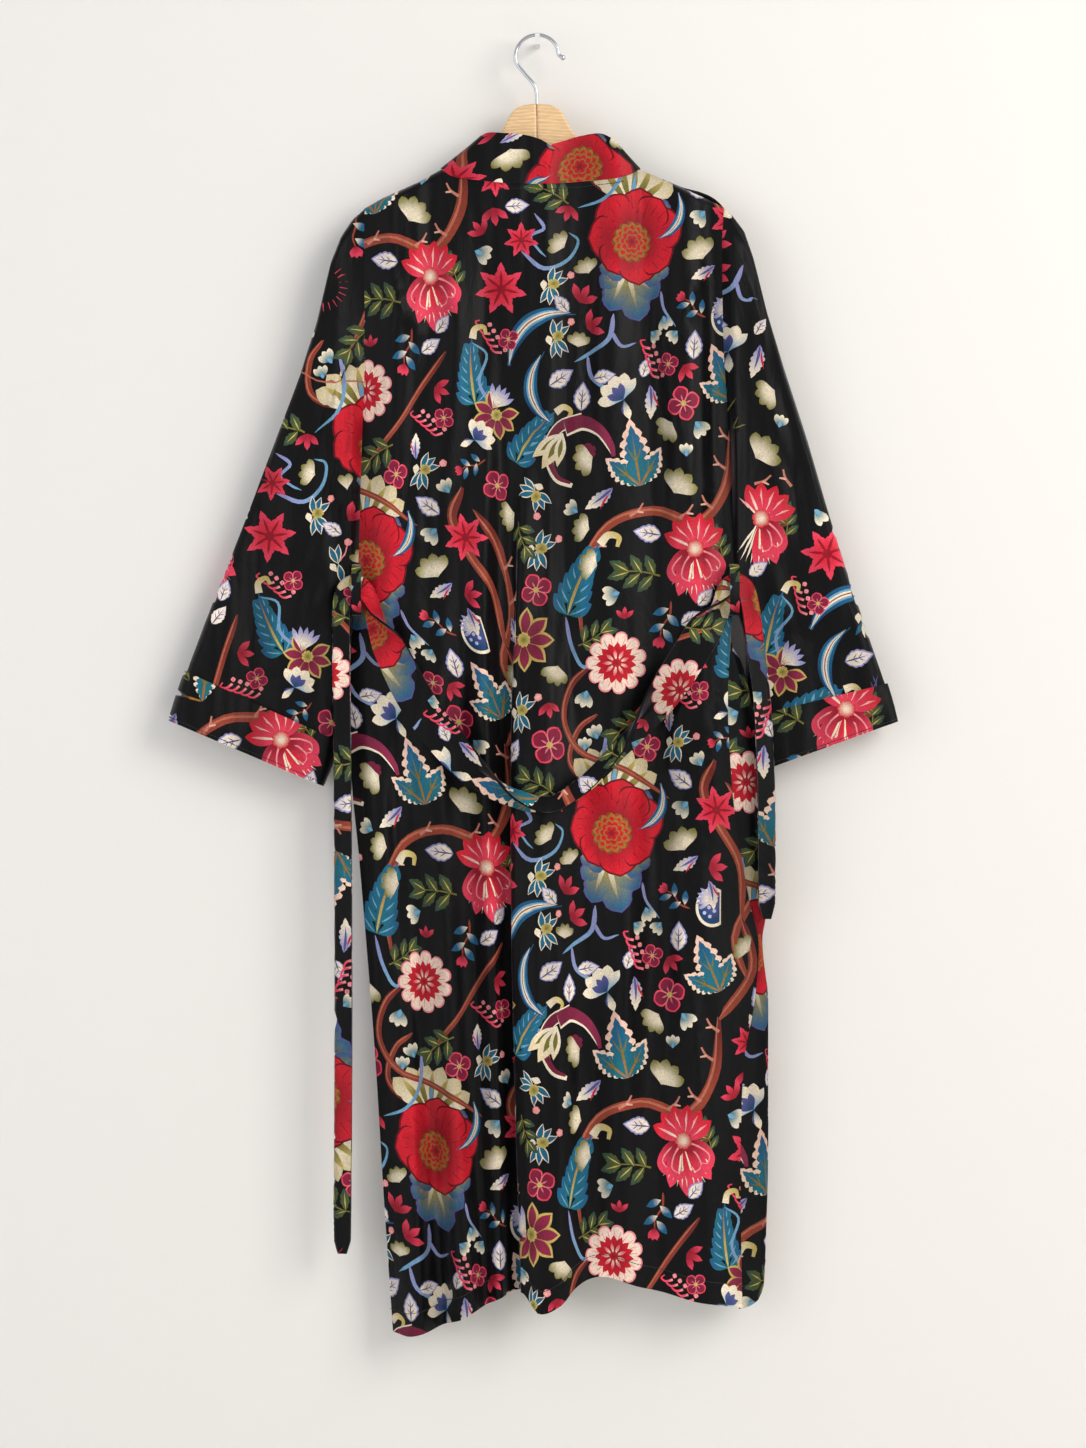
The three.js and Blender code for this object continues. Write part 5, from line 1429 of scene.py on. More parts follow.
def triangulate_in_bands(places, across, down, scale, bands):
    """Cuts a piece along its outlines, one band of its length after another, and sews the bands together.

    Each triangle belongs to the last outline laid over it, as the top one of a pile of paper cut-outs shows."""
    edges = [down[round(k * (len(down) - 1) / bands)] for k in range(bands + 1)]
    points, triangles, owners = [], [], []
    first = 0
    for low, high in zip(edges[:-1], edges[1:]):
        corners = [(0, low), (1, low), (1, high), (0, high)]
        verts = [(a * scale[0], b * scale[1]) for a, b in corners]
        sides, here = [(0, 1), (1, 2), (2, 3), (3, 0)], []
        for number, own in enumerate(places, 1):
            if own[:, 1].max() <= low or own[:, 1].min() >= high:
                continue
            start, count = len(verts), len(own)
            sides += [(start + k, start + (k + 1) % count) for k in range(count)]
            here.append(number)
            verts.extend(map(tuple, own * scale))
        rows = [(j, b) for j, b in enumerate(down) if low <= b <= high]
        for i, a in enumerate(across):
            for j, b in rows:
                inner = j % 2 and 0 < i < len(across) - 1 and low < b < high
                stagger = 0.5 * (across[i + 1] - a) if inner else 0
                verts.append(((a + stagger) * scale[0], b * scale[1]))
        result = delaunay_2d_cdt([Vector(v) for v in verts], sides, [], 0, 1e-4, False)
        cut = np.array([tuple(v) for v in result[0]])
        pieces = np.array([list(face) for face in result[2]])
        middles = cut[pieces].mean(axis=1) / scale
        in_band = (middles[:, 1] > low) & (middles[:, 1] < high) & (middles[:, 0] > 0) & (middles[:, 0] < 1)
        pieces, middles = pieces[in_band], middles[in_band]
        owner = np.zeros(len(pieces), int)
        for number in here:
            own = places[number - 1]
            near = np.flatnonzero(((middles > own.min(axis=0)) & (middles < own.max(axis=0))).all(axis=1))
            owner[near[inside(own, middles[near])]] = number
        points.append(cut)
        triangles.append(pieces + first)
        owners.append(owner)
        first += len(cut)
    points, triangles, owners = np.concatenate(points), np.concatenate(triangles), np.concatenate(owners)
    _, keep, merged = np.unique(np.round(points, 3), axis=0, return_index=True, return_inverse=True)
    triangles = merged.ravel()[triangles]
    ordered = np.sort(triangles, axis=1)
    whole = (np.diff(ordered, axis=1) > 0).all(axis=1)
    single = np.zeros(len(triangles), bool)
    single[np.unique(ordered, axis=0, return_index=True)[1]] = True
    whole &= single
    return points[keep] / scale, triangles[whole], owners[whole]


# %% Small measures on outlines and triangles
def outline_area(points):
    x, y = points[:, 0], points[:, 1]
    return float(np.sum(x * np.roll(y, -1) - np.roll(x, -1) * y)) / 2


def facing(points, triangles):
    """Each triangle's normal, as long as twice its area."""
    first, second, third = points[triangles].transpose(1, 0, 2)
    return np.cross(second - first, third - first)


def boundary_edges(triangles):
    edges = np.concatenate([triangles[:, [0, 1]], triangles[:, [1, 2]], triangles[:, [2, 0]]])
    keys = np.sort(edges, axis=1)
    _, index, counts = np.unique(keys, axis=0, return_index=True, return_counts=True)
    return edges[index[counts == 1]]


def inner_faces_wrong(points, triangles, normals):
    return float(np.sum(facing(points, triangles) * normals[triangles[:, 0]])) < 0


# %% Carrying the print's outlines from the flat cut to a piece
WORST_MISS = 2
WORST_STRETCH = 4


def outlines_on(cut, outlines, scale):
    """The outlines that reach the piece, where they lie on it, and how many can't be carried to it."""
    shares, missed = cut.find(np.concatenate([outline[0] for outline in outlines]))
    laid, places, senses = [], [], []
    first = left_out = 0
    for outline in outlines:
        count = len(outline[0])
        own, off = shares[first : first + count], missed[first : first + count]
        first += count
        if (own.max(axis=0) <= 0).any() or (own.min(axis=0) >= 1).any():
            continue
        steps = np.linalg.norm(np.diff(own * scale, axis=0), axis=-1)
        flat_steps = np.linalg.norm(np.diff(outline[0], axis=0), axis=-1)
        if off.max() > WORST_MISS or (steps > WORST_STRETCH * (flat_steps + 1)).any():
            left_out += 1
            continue
        laid.append(outline)
        places.append(own if outline_area(own) > 0 else own[::-1])
        senses.append(outline_area(own * scale) / (outline_area(outline[0]) or 1e-6) > 0)
    # An outline that lies the other way round from the rest was found on the wrong side of a fold.
    usual = np.mean(senses) > 0.5
    kept = [k for k, sense in enumerate(senses) if sense == usual]
    return [laid[k] for k in kept], [places[k] for k in kept], left_out + len(senses) - len(kept)


def print_colours(laid, top, triangles, flat_at):
    """The colour of each triangle's corners: the black ground, or the turning colour of its outline."""
    colours = np.tile(np.array(linear(VELVET_BLACK)), (len(triangles), 3, 1))
    starts, rims = (np.array([linear(outline[k]) for outline in laid]) for k in (1, 2))
    centres = np.array([outline[3] for outline in laid], float)
    reaches = np.array([outline[4] for outline in laid], float)
    printed = top > 0
    owner = top[printed] - 1
    share = np.linalg.norm(flat_at[triangles[printed]] - centres[owner][:, None], axis=-1) / reaches[owner][:, None]
    colours[printed] = mix(starts[owner][:, None], rims[owner][:, None], smooth_step(0, 1, share)[..., None])
    return colours


# %% The inner side and the rim
def plain_inner_side(surface, wide, long, closed, depth, first):
    """A grid without print, at a depth under the middle of the wall. first is the number of its first point."""
    a, b = np.meshgrid(wide, long)
    normal = surface_normals(surface, a, b, closed=closed)
    points = (surface(a, b) - normal * depth).reshape(-1, 3)
    number = np.arange(len(wide) * len(long)).reshape(len(long), len(wide)) + first
    quads = [number[:-1, :-1], number[:-1, 1:], number[1:, 1:], number[1:, :-1]]
    triangles = np.concatenate([
        np.stack([quads[0], quads[1], quads[2]], axis=-1).reshape(-1, 3),
        np.stack([quads[0], quads[2], quads[3]], axis=-1).reshape(-1, 3),
    ])
    return points, normal.reshape(-1, 3), triangles


def rim_strip(triangles, outer, inner, normal, first):
    """Closes the wall along its edge, on points of its own, so that the edge shades as an edge."""
    edges = boundary_edges(triangles)
    rim_from, rim_to = outer[edges], inner[edges]
    p = first + 2 * np.arange(len(edges))
    r = p + 2 * len(edges)
    faces = np.concatenate([np.stack([p + 1, p, r], axis=-1), np.stack([p + 1, r, r + 1], axis=-1)])
    away = np.cross(rim_from[:, 1] - rim_from[:, 0], normal[edges[:, 0]])
    away /= np.maximum(np.linalg.norm(away, axis=-1, keepdims=True), 1e-9)
    sideways = np.repeat(away, 2, axis=0)
    points = np.concatenate([rim_from.reshape(-1, 3), rim_to.reshape(-1, 3)])
    return points, np.concatenate([sideways, sideways]), faces


def flat_size(cut, widths, lengths, fold_line):
    """Width and length in metres. An opened sleeve is measured along and across its fold line."""
    if not fold_line:
        return float(widths.max()) * MM, float(lengths.max()) * MM
    (x0, z0), (x1, z1) = fold_line
    way = np.array([x1 - x0, z1 - z0]) / math.hypot(x1 - x0, z1 - z0)
    laid_flat = cut.flat.reshape(-1, 2) @ np.array([[-way[1], way[0]], [way[0], way[1]]])
    return tuple(float(s) * MM for s in np.ptp(laid_flat, axis=0))


# %% One cut piece of cloth
def cloth_piece(name, surface, to_flat, columns, rows, wall, face_way, shift=(0, 0), degrees=0,
                closed=False, both_sides=False, extra_rows=(), extra_columns=(), cut_columns=180, bands=1,
                fold_line=None):
    """face_way tells the printed side: a direction, or "outside" for a tube."""
    cut = FlatCut(surface, to_flat, columns=cut_columns)
    low, high = cut.flat.reshape(-1, 2).min(axis=0), cut.flat.reshape(-1, 2).max(axis=0)
    widths = row_lengths(surface(cut.share, cut.along))[:, -1]
    lengths = row_lengths(surface(cut.share, cut.along).transpose(1, 0, 2))[:, -1]
    scale = np.array([widths.mean(), lengths.mean()])
    outlines = repeat_copies(low, high, np.asarray(shift, float), degrees)
    laid, places, left_out = outlines_on(cut, outlines, scale)
    across, down = grid_lines(columns, extra_columns), grid_lines(rows, extra_rows)
    flat_verts, triangles, top = triangulate_in_bands(places, across, down, scale, bands)

    used, triangles = np.unique(triangles, return_inverse=True)
    triangles = triangles.reshape(-1, 3)
    own = np.clip(flat_verts[used], 0, 1)
    middle = surface(own[:, 0], own[:, 1])
    normal = surface_normals(surface, own[:, 0], own[:, 1], closed=closed)
    if face_way == "outside":
        sign = 1 if normal_points_out(surface) else -1
    else:
        sign = 1 if float(np.mean(normal @ np.asarray(face_way))) > 0 else -1
    normal = normal * sign
    outer, under = middle + normal * wall / 2, middle - normal * wall / 2
    if inner_faces_wrong(middle, triangles, normal):
        triangles = triangles[:, ::-1]
    colours = print_colours(laid, top, triangles, cut.at(own[:, 0], own[:, 1]))

    if both_sides:
        inner, inner_normal, inner_triangles = under, normal, triangles + len(outer)
    else:
        wide, long = grid_lines(max(4, columns // 2), extra_columns), grid_lines(max(4, rows // 2), extra_rows)
        inner, inner_normal, inner_triangles = plain_inner_side(
            surface, wide, long, closed, sign * wall / 2, len(outer)
        )
        inner_normal = inner_normal * sign
    flip_inner = inner_faces_wrong(inner, inner_triangles - len(outer), -inner_normal)
    if flip_inner:
        inner_triangles = inner_triangles[:, ::-1]
    rim, rim_normals, rim_triangles = rim_strip(triangles, outer, under, normal, len(outer) + len(inner))

    corners = np.concatenate([outer, inner, rim])
    normals = np.concatenate([normal, -inner_normal, rim_normals])
    every = np.concatenate([triangles, inner_triangles, rim_triangles])
    black = np.array(linear(VELVET_BLACK))
    inner_colours = np.tile(black, (len(inner_triangles) * 3, 1))
    if both_sides:
        inner_colours = (colours[:, ::-1] if flip_inner else colours).reshape(-1, 4)
    filler = np.tile(black, (len(rim_triangles) * 3, 1))
    colours = np.concatenate([colours.reshape(-1, 4), inner_colours, filler])
    indices = np.concatenate([
        np.zeros(len(triangles)), np.full(len(inner_triangles), 0 if both_sides else 1), np.zeros(len(rim_triangles))
    ])
    made = wall_mesh(name, corners, normals, every, colours, [velvet, velvet_back], indices)
    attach(made, "root")
    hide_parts(name.replace("cloth_", ""))
    area = float(np.sum(np.linalg.norm(facing(middle, triangles), axis=-1)) / 2)
    size = flat_size(cut, widths, lengths, fold_line)
    print(name, "triangles", len(every), "flat", [round(s, 3) for s in size], "area m2", round(area * 1e-6, 4),
          "outlines", len(laid), "left out", left_out)
    return made, size, area * 1e-6


# %% [markdown]
# ## The pieces of the robe
#
# The long pieces are sewn down from the shoulders and the sleeves are one tube each. The printed face
# looks outwards everywhere: to the room on the back, to the wall on the fronts.

# %% The back
TOP_ROLL_ROWS = [0.0003, 0.001, 0.002, 0.0035, 0.0052, 0.0075]
ROOM, WALL = (0, -1, 0), (0, 1, 0)
PEONY_X, PEONY_Z = 98, -210

back_creased = creased(back_surface, BACK_CREASES)
cloth_piece(
    "cloth_back_panel", back_creased, hanging_cut(10.5 / 16), 116, 92, CLOTH_WALL, ROOM,
    shift=(PEONY_X - 2, PEONY_Z), extra_rows=TOP_ROLL_ROWS, cut_columns=320, bands=9,
)

# %% The fronts
cloth_piece(
    "cloth_front_left", front_left_surface, hanging_cut(1.0), 48, 90, CLOTH_WALL, WALL,
    shift=(-60, -330), extra_rows=TOP_ROLL_ROWS, bands=6,
)
cloth_piece(
    "cloth_front_right", front_right_surface, hanging_cut(0.2), 80, 90, CLOTH_WALL, WALL,
    shift=(-20, -955), extra_rows=TOP_ROLL_ROWS, bands=6,
)

# %% The neck band
for node, table, rows, shift in (
    ("neck_band_back", BACK_BAND, 84, (-14, -150)),
    ("neck_band_left", LEFT_BAND, 120, (10, -420)),
    ("neck_band_right", RIGHT_BAND, 120, (-20, -120)),
):
    cloth_piece(
        "cloth_" + node, band_surface(table), strip_cut, 8, rows, DOUBLE_WALL, ROOM, shift=shift,
        both_sides=True, degrees=90 if node == "neck_band_back" else 0, cut_columns=24, bands=4,
    )

# %% The sleeves and the turned cuffs
def from_underarm(surface):
    """Starts the turn at the underarm seam, so that the top fold has none."""
    return lambda around, along: surface(around + 0.5, along)


SLEEVES = {
    "left": (-1, LEFT_SIDE, LEFT_SLEEVE, LEFT_DRAPE, LEFT_ARMHOLE_Z),
    "right": (1, RIGHT_SIDE, RIGHT_SLEEVE, RIGHT_DRAPE, RIGHT_ARMHOLE_Z),
}
FOLD_LINES = {"left": ((-194, -191), (-386, -719)), "right": ((205, -187), (377, -720))}
SLEEVE_PRINT = {"left": ((-165, -423), 20), "right": ((262, -170), -18)}
TURN_STEPS = np.array([0.0025, 0.006, 0.011, 0.018, 0.027])
TURN_COLUMNS = np.concatenate([TURN_STEPS, 0.5 - TURN_STEPS, 0.5 + TURN_STEPS, 1 - TURN_STEPS])
for side, sizes in SLEEVES.items():
    shift, degrees = SLEEVE_PRINT[side]
    sleeve = creased(sleeve_surface(*sizes), SLEEVE_CREASES[side], back_of_turn)
    cloth_piece(
        "cloth_sleeve_" + side, from_underarm(sleeve), sleeve_cut(FOLD_LINES[side]), 100, 60,
        CLOTH_WALL, "outside", shift=shift, degrees=degrees, closed=True, cut_columns=240, bands=4,
        extra_columns=TURN_COLUMNS,
        fold_line=FOLD_LINES[side],
    )
    cloth_piece(
        "cloth_cuff_" + side, from_underarm(cuff_surface(*sizes, bulge=0.6)), sleeve_cut(FOLD_LINES[side]), 90, 8,
        DOUBLE_WALL, "outside", shift=(shift[0] + 90, shift[1] - 200), degrees=degrees, closed=True,
        both_sides=True, cut_columns=240, fold_line=FOLD_LINES[side], extra_columns=TURN_COLUMNS,
    )

# %% The belt and its loops
cloth_piece(
    "cloth_belt", belt_surface, strip_cut, 12, 330, DOUBLE_WALL, ROOM, shift=(-10, -780), both_sides=True,
    cut_columns=24, bands=6,
)
for side, (x, lift) in LOOPS.items():
    cloth_piece(
        "cloth_belt_loop_" + side, loop_surface(x, lift), strip_cut, 6, 28, 1.6, ROOM, shift=(300, 50),
        both_sides=True, cut_columns=24,
    )

# %% [markdown]
# ## The hanger and its hooks
#
# The arms are plain beech with rounded edges, glued where the grain meets in a chevron. The CAD solids
# have the right shape, so they stay and get a grain. The hook is chromed wire and is swept here with
# more sides than the solid has.

# %% Beech: sawn, sanded and waxed, with grain about 3 mm wide
def beech_material(name, lean):
    material, tree, shader = new_material(name)
    where = add_node(tree, "ShaderNodeTexCoord")
    along = add_node(
        tree, "ShaderNodeMapping", inputs={"Rotation": (0, math.radians(lean), 0), "Scale": (0.16, 1, 1)},
        links={"Vector": where.outputs["Object"]},
    )
    grain = add_node(
        tree, "ShaderNodeTexWave", {"wave_type": "BANDS", "bands_direction": "Z"},
        inputs={"Scale": 95, "Distortion": 3.5, "Detail": 3, "Detail Scale": 1.4},
        links={"Vector": along.outputs["Vector"]},
    )
    flecks = add_node(
        tree, "ShaderNodeTexNoise", inputs={"Scale": 420, "Detail": 3}, links={"Vector": along.outputs["Vector"]}
    )
    tone = add_node(tree, "ShaderNodeValToRGB", links={"Fac": grain.outputs["Fac"]})
    tone.color_ramp.elements[0].color = linear("#e0b885")
    tone.color_ramp.elements[1].color = linear("#ecca9c")
    fleck = add_node(
        tree, "ShaderNodeMapRange", inputs={"From Min": 0.35, "From Max": 0.65, "To Min": 0.88, "To Max": 1.06},
        links={"Value": flecks.outputs["Fac"]},
    )
    shaded = add_node(
        tree, "ShaderNodeVectorMath", {"operation": "SCALE"},
        links={0: tone.outputs["Color"], "Scale": fleck.outputs["Result"]},
    )
    tree.links.new(shaded.outputs["Vector"], shader.inputs["Base Color"])
    bump = add_node(
        tree, "ShaderNodeBump", inputs={"Strength": 0.15, "Distance": 0.0003}, links={"Height": grain.outputs["Fac"]}
    )
    tree.links.new(bump.outputs["Normal"], shader.inputs["Normal"])
    set_sockets(shader, Roughness=0.42, IOR=1.5)
    return material


def repaint(node, material):
    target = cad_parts[node]
    target.data.materials.clear()
    target.data.materials.append(material)


repaint("hanger_arm_left", beech_material("waxed beech, left arm", 26))
repaint("hanger_arm_right", beech_material("waxed beech, right arm", -26))


# %% Chromed steel wire and the white plastic wall hook
def plain_material(name, colour, bump_scale, **sockets):
    material, tree, shader = new_material(name)
    where = add_node(tree, "ShaderNodeTexCoord")
    noise = add_node(
        tree, "ShaderNodeTexNoise", inputs={"Scale": bump_scale, "Detail": 3}, links={"Vector": where.outputs["Object"]}
    )
    rough = add_node(
        tree, "ShaderNodeMapRange",
        inputs={"To Min": sockets["Roughness"] * 0.8, "To Max": sockets["Roughness"] * 1.25},
        links={"Value": noise.outputs["Fac"]},
    )
    tree.links.new(rough.outputs["Result"], shader.inputs["Roughness"])
    shader.inputs["Base Color"].default_value = linear(colour)
    set_sockets(shader, **sockets)
    return material


chrome = plain_material("chromed steel wire", "#c9ccd0", 300, Roughness=0.14, Metallic=1.0)
wall_plastic = plain_material("white moulded plastic", "#e4e4e2", 200, Roughness=0.3)
repaint("wall_hook", wall_plastic)

# %% The hook, swept round its path
WIRE_RADIUS, HOOK_RADIUS, HOOK_CENTRE_Z, WIRE_FOOT_X, HOOK_FOOT_Z = 2, 23, -18.6, -0.7, -82
WIRE_BALL_RADIUS = 2.9


def hook_path():
    points = [(WIRE_FOOT_X, HOOK_FOOT_Z), (WIRE_FOOT_X, -58), (-3, -49), (-13, -37)]
    for degrees in range(195, 4, -19):
        angle = math.radians(degrees)
        points.append((HOOK_RADIUS * math.cos(angle), HOOK_CENTRE_Z + HOOK_RADIUS * math.sin(angle)))
    points.append((HOOK_RADIUS + 4, HOOK_CENTRE_Z - 1))
    return np.array(points)


def swept_wire(name, steps=160, sides=20):
    """A round wire in the plane of the hook that swells into a ball at its tip."""
    share = np.linspace(0, 1, steps)
    control = hook_path()
    path = smooth_curve(np.broadcast_to(control, share.shape + control.shape), share)
    length = np.concatenate([[0], np.cumsum(np.linalg.norm(np.diff(path, axis=0), axis=-1))])
    from_tip = length[-1] + WIRE_BALL_RADIUS - 0.05 - np.concatenate([length, length[-1] + np.linspace(0.3, 2.85, 9)])
    tangent = np.gradient(path, axis=0)
    tangent /= np.linalg.norm(tangent, axis=-1, keepdims=True)
    more = path[-1] + tangent[-1] * np.linspace(0.3, 2.85, 9)[:, None]
    path = np.concatenate([path, more])
    tangent = np.concatenate([tangent, np.repeat(tangent[-1:], 9, axis=0)])
    ball = np.sqrt(np.maximum(WIRE_BALL_RADIUS**2 - (from_tip - WIRE_BALL_RADIUS) ** 2, 0.01))
    neck = np.where(from_tip > WIRE_BALL_RADIUS, WIRE_RADIUS, 0.1)
    radius = np.where(from_tip < 2 * WIRE_BALL_RADIUS, np.maximum(ball, neck), WIRE_RADIUS)
    turn = np.linspace(0, 2 * math.pi, sides, endpoint=False)
    side = np.stack([-tangent[:, 1], tangent[:, 0]], axis=-1)
    verts, faces = [], []
    for point, way, r in zip(path, side, radius):
        for angle in turn:
            x, z = point + way * r * math.cos(angle)
            verts.append((x * MM, (-HANGER_OUT - r * math.sin(angle)) * MM, z * MM))
    rings = len(path)
    for i in range(rings - 1):
        for j in range(sides):
            k = (j + 1) % sides
            faces.append((i * sides + j, i * sides + k, (i + 1) * sides + k, (i + 1) * sides + j))
    faces.append(tuple(range(sides))[::-1])
    faces.append(tuple((rings - 1) * sides + j for j in range(sides)))
    mesh = bpy.data.meshes.new(name)
    mesh.from_pydata(verts, [], faces)
    mesh.polygons.foreach_set("use_smooth", [True] * len(mesh.polygons))
    mesh.materials.append(chrome)
    made = bpy.data.objects.new(name, mesh)
    bpy.context.scene.collection.objects.link(made)
    return made




def faces_outwards(made):
    work = bmesh.new()
    work.from_mesh(made.data)
    bmesh.ops.recalc_face_normals(work, faces=work.faces)
    work.to_mesh(made.data)
    work.free()


wire = swept_wire("hanger_wire")
faces_outwards(wire)
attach(wire, "root")
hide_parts("hanger_hook")

# %% [markdown]
# ## Stitches
#
# The hem, the sleeve ends and the neck seam are sewn with black thread. Thousands of stitches would be
# tedious by hand, so a small node tree puts one on each step along a path that lies on the cloth.

# %% The stitch tree
def stitch_tree(material):
    tree = bpy.data.node_groups.new("stitch row", "GeometryNodeTree")
    tree.interface.new_socket("Geometry", in_out="INPUT", socket_type="NodeSocketGeometry")
    for name, value in (("Pitch", 0.0036), ("Stitch Length", 0.0028), ("Thread Width", 0.0007)):
        socket = tree.interface.new_socket(name, in_out="INPUT", socket_type="NodeSocketFloat")
        socket.default_value = value
    tree.interface.new_socket("Geometry", in_out="OUTPUT", socket_type="NodeSocketGeometry")
    inputs = add_node(tree, "NodeGroupInput")
    curve = add_node(tree, "GeometryNodeMeshToCurve", links={"Mesh": inputs.outputs["Geometry"]})
    steps = add_node(
        tree, "GeometryNodeResampleCurve", {"mode": "LENGTH"},
        links={"Curve": curve.outputs["Curve"], "Length": inputs.outputs["Pitch"]},
    )
    way = add_node(tree, "GeometryNodeInputTangent")
    turn = add_node(tree, "FunctionNodeAlignRotationToVector", {"axis": "Z"}, links={"Vector": way.outputs["Tangent"]})
    thread = add_node(tree, "GeometryNodeMeshCylinder", inputs={"Vertices": 6, "Radius": 0.5, "Depth": 1.0})
    size = add_node(
        tree, "ShaderNodeCombineXYZ",
        links={0: inputs.outputs["Thread Width"], 1: inputs.outputs["Thread Width"], 2: inputs.outputs["Stitch Length"]},
    )
    copies = add_node(
        tree, "GeometryNodeInstanceOnPoints",
        links={
            "Points": steps.outputs["Curve"], "Instance": thread.outputs["Mesh"],
            "Rotation": turn.outputs["Rotation"], "Scale": size.outputs["Vector"],
        },
    )
    real = add_node(tree, "GeometryNodeRealizeInstances", links={"Geometry": copies.outputs["Instances"]})
    painted = add_node(
        tree, "GeometryNodeSetMaterial", {}, {"Material": material}, {"Geometry": real.outputs["Geometry"]}
    )
    add_node(tree, "NodeGroupOutput", links={"Geometry": painted.outputs["Geometry"]})
    return tree


thread_black = plain_material("black spun polyester thread", "#1b191c", 900, Roughness=0.6)
STITCHES = stitch_tree(thread_black)


def socket_id(tree, name):
    return next(item.identifier for item in tree.interface.items_tree if item.name == name and item.in_out == "INPUT")


def stitch_row(name, surface, shares, alongs, wall, way, closed=False, pitch=0.0036):
    """Stitches along a path given in a piece's shares, just proud of the printed side."""
    shares, alongs = np.broadcast_arrays(np.asarray(shares, float), np.asarray(alongs, float))
    normal = surface_normals(surface, shares, alongs, closed=closed)
    if way == "outside":
        sign = 1 if normal_points_out(surface) else -1
    else:
        sign = 1 if float(np.mean(normal @ np.asarray(way))) > 0 else -1
    points = surface(shares, alongs) + normal * sign * (wall / 2 + 0.1)
    mesh = bpy.data.meshes.new(name + "_path")
    mesh.from_pydata([tuple(p * MM) for p in points], [(i, i + 1) for i in range(len(points) - 1)], [])
    path = bpy.data.objects.new(name + "_path", mesh)
    bpy.context.scene.collection.objects.link(path)
    modifier = path.modifiers.new("stitches", "NODES")
    modifier.node_group = STITCHES
    modifier[socket_id(STITCHES, "Pitch")] = pitch
    modifier[socket_id(STITCHES, "Stitch Length")] = pitch * 0.78
    modifier[socket_id(STITCHES, "Thread Width")] = 0.0007
    evaluated = path.evaluated_get(bpy.context.evaluated_depsgraph_get())
    result = bpy.data.meshes.new_from_object(evaluated)
    result.name = name
    made = bpy.data.objects.new(name, result)
    bpy.context.scene.collection.objects.link(made)
    bpy.data.objects.remove(path)
    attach(made, "root")
    print(name, "stitches", len(result.polygons) // 8)
    return made


# %% Rows of stitches
EVEN = np.linspace(0, 1, 260)
HEM_DEPTH = 24 / 1190
stitch_row("stitches_back_hem", back_creased, EVEN, 1 - HEM_DEPTH, CLOTH_WALL, ROOM)
stitch_row("stitches_front_left_hem", front_left_surface, EVEN, 1 - HEM_DEPTH, CLOTH_WALL, WALL)
stitch_row("stitches_front_right_hem", front_right_surface, EVEN, 1 - HEM_DEPTH, CLOTH_WALL, WALL)
stitch_row("stitches_neck", back_creased, np.linspace(0.36, 0.8, 120), 0.0045, CLOTH_WALL, ROOM, pitch=0.003)
for side, sizes in SLEEVES.items():
    stitch_row("stitches_cuff_" + side, from_underarm(cuff_surface(*sizes, bulge=0.6)), EVEN * 0.998, 0.93,
               DOUBLE_WALL, "outside", closed=True)

# %% [markdown]
# ## Stage, light and camera
#
# The robe hangs flat against a pale wall. The wall is a backdrop that shows only from its front, so
# that the robe can be looked at from behind as well.

# %% Floor and wall
def stage_plane(name, corners, material):
    mesh = bpy.data.meshes.new(name)
    mesh.from_pydata(corners, [], [(0, 1, 2, 3)])
    mesh.materials.append(material)
    made = bpy.data.objects.new(name, mesh)
    bpy.context.scene.collection.objects.link(made)
    return made


def painted_wall():
    material, tree, shader = new_material("pale painted wall")
    shader.inputs["Base Color"].default_value = linear("#eceae6")
    set_sockets(shader, Roughness=0.9)
    output = next(node for node in tree.nodes if node.type == "OUTPUT_MATERIAL")
    side = add_node(tree, "ShaderNodeNewGeometry")
    clear = add_node(tree, "ShaderNodeBsdfTransparent")
    chosen = add_node(
        tree, "ShaderNodeMixShader",
        links={0: side.outputs["Backfacing"], 1: shader.outputs["BSDF"], 2: clear.outputs["BSDF"]},
    )
    tree.links.new(chosen.outputs["Shader"], output.inputs["Surface"])
    return material


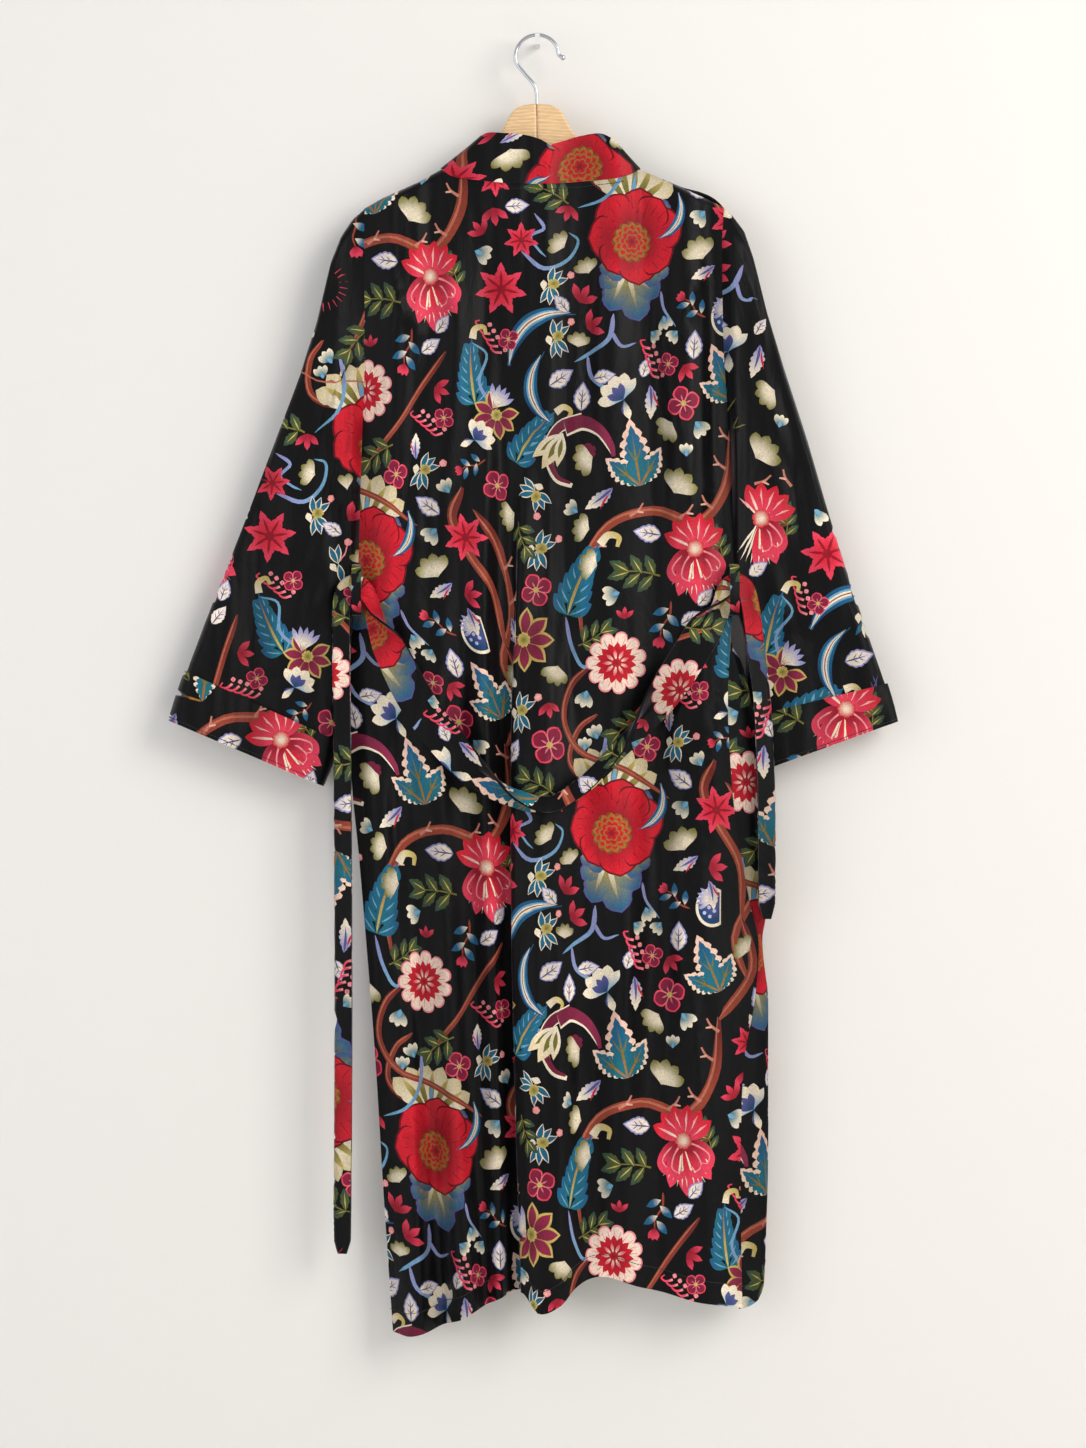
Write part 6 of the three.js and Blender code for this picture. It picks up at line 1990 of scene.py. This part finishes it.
wall_paint = painted_wall()
FLOOR_Z = -1.75
stage_plane("wall", [(-4, 0.0015, FLOOR_Z), (4, 0.0015, FLOOR_Z), (4, 0.0015, 2.4), (-4, 0.0015, 2.4)], wall_paint)
stage_plane("floor", [(-4, -6, FLOOR_Z), (4, -6, FLOOR_Z), (4, 4, FLOOR_Z), (-4, 4, FLOOR_Z)], wall_paint)


# %% Lights
def area_light(name, place_at, aim, size, power, colour="#ffffff"):
    data = bpy.data.lights.new(name, "AREA")
    data.shape = "RECTANGLE"
    data.size, data.size_y = size
    data.energy = power
    data.color = linear(colour)[:3]
    light = bpy.data.objects.new(name, data)
    light.location = place_at
    light.rotation_euler = (Vector(aim) - Vector(place_at)).to_track_quat("-Z", "Y").to_euler()
    bpy.context.scene.collection.objects.link(light)
    return light


area_light("window", (2.3, -2.4, 0.7), (0, 0, -0.65), (1.8, 2.2), 72, "#fffaf4")
area_light("fill", (-2.6, -2.6, -0.3), (0, 0, -0.7), (2.2, 2.6), 26, "#f4f7ff")
area_light("behind", (0, 2.6, 0.6), (0, 0, -0.7), (2.4, 2.4), 26)

world = bpy.data.worlds.new("pale studio")
bpy.context.scene.world = world
world.use_nodes = True
background = next(node for node in world.node_tree.nodes if node.type == "BACKGROUND")
background.inputs["Color"].default_value = linear("#f1f2f4")
background.inputs["Strength"].default_value = 0.62
bpy.context.scene.view_settings.view_transform = "Standard"

# %% Camera: straight on, 3.2 m from the cloth, 1520 mm of wall from top to bottom
CAMERA_X, CAMERA_Z = 6 * MM, -722 * MM
CAMERA_DISTANCE = 3.2
CLOTH_PLANE_OUT = 45 * MM
FRAME_HEIGHT = 1520 * MM
camera_data = bpy.data.cameras.new("camera")
camera = bpy.data.objects.new("camera", camera_data)
camera.location = (CAMERA_X, -CLOTH_PLANE_OUT - CAMERA_DISTANCE, CAMERA_Z)
camera.rotation_euler = (math.radians(90), 0, 0)
camera_data.sensor_fit = "VERTICAL"
camera_data.sensor_height = 24
camera_data.lens = 24 * CAMERA_DISTANCE / FRAME_HEIGHT
bpy.context.scene.collection.objects.link(camera)
bpy.context.scene.camera = camera
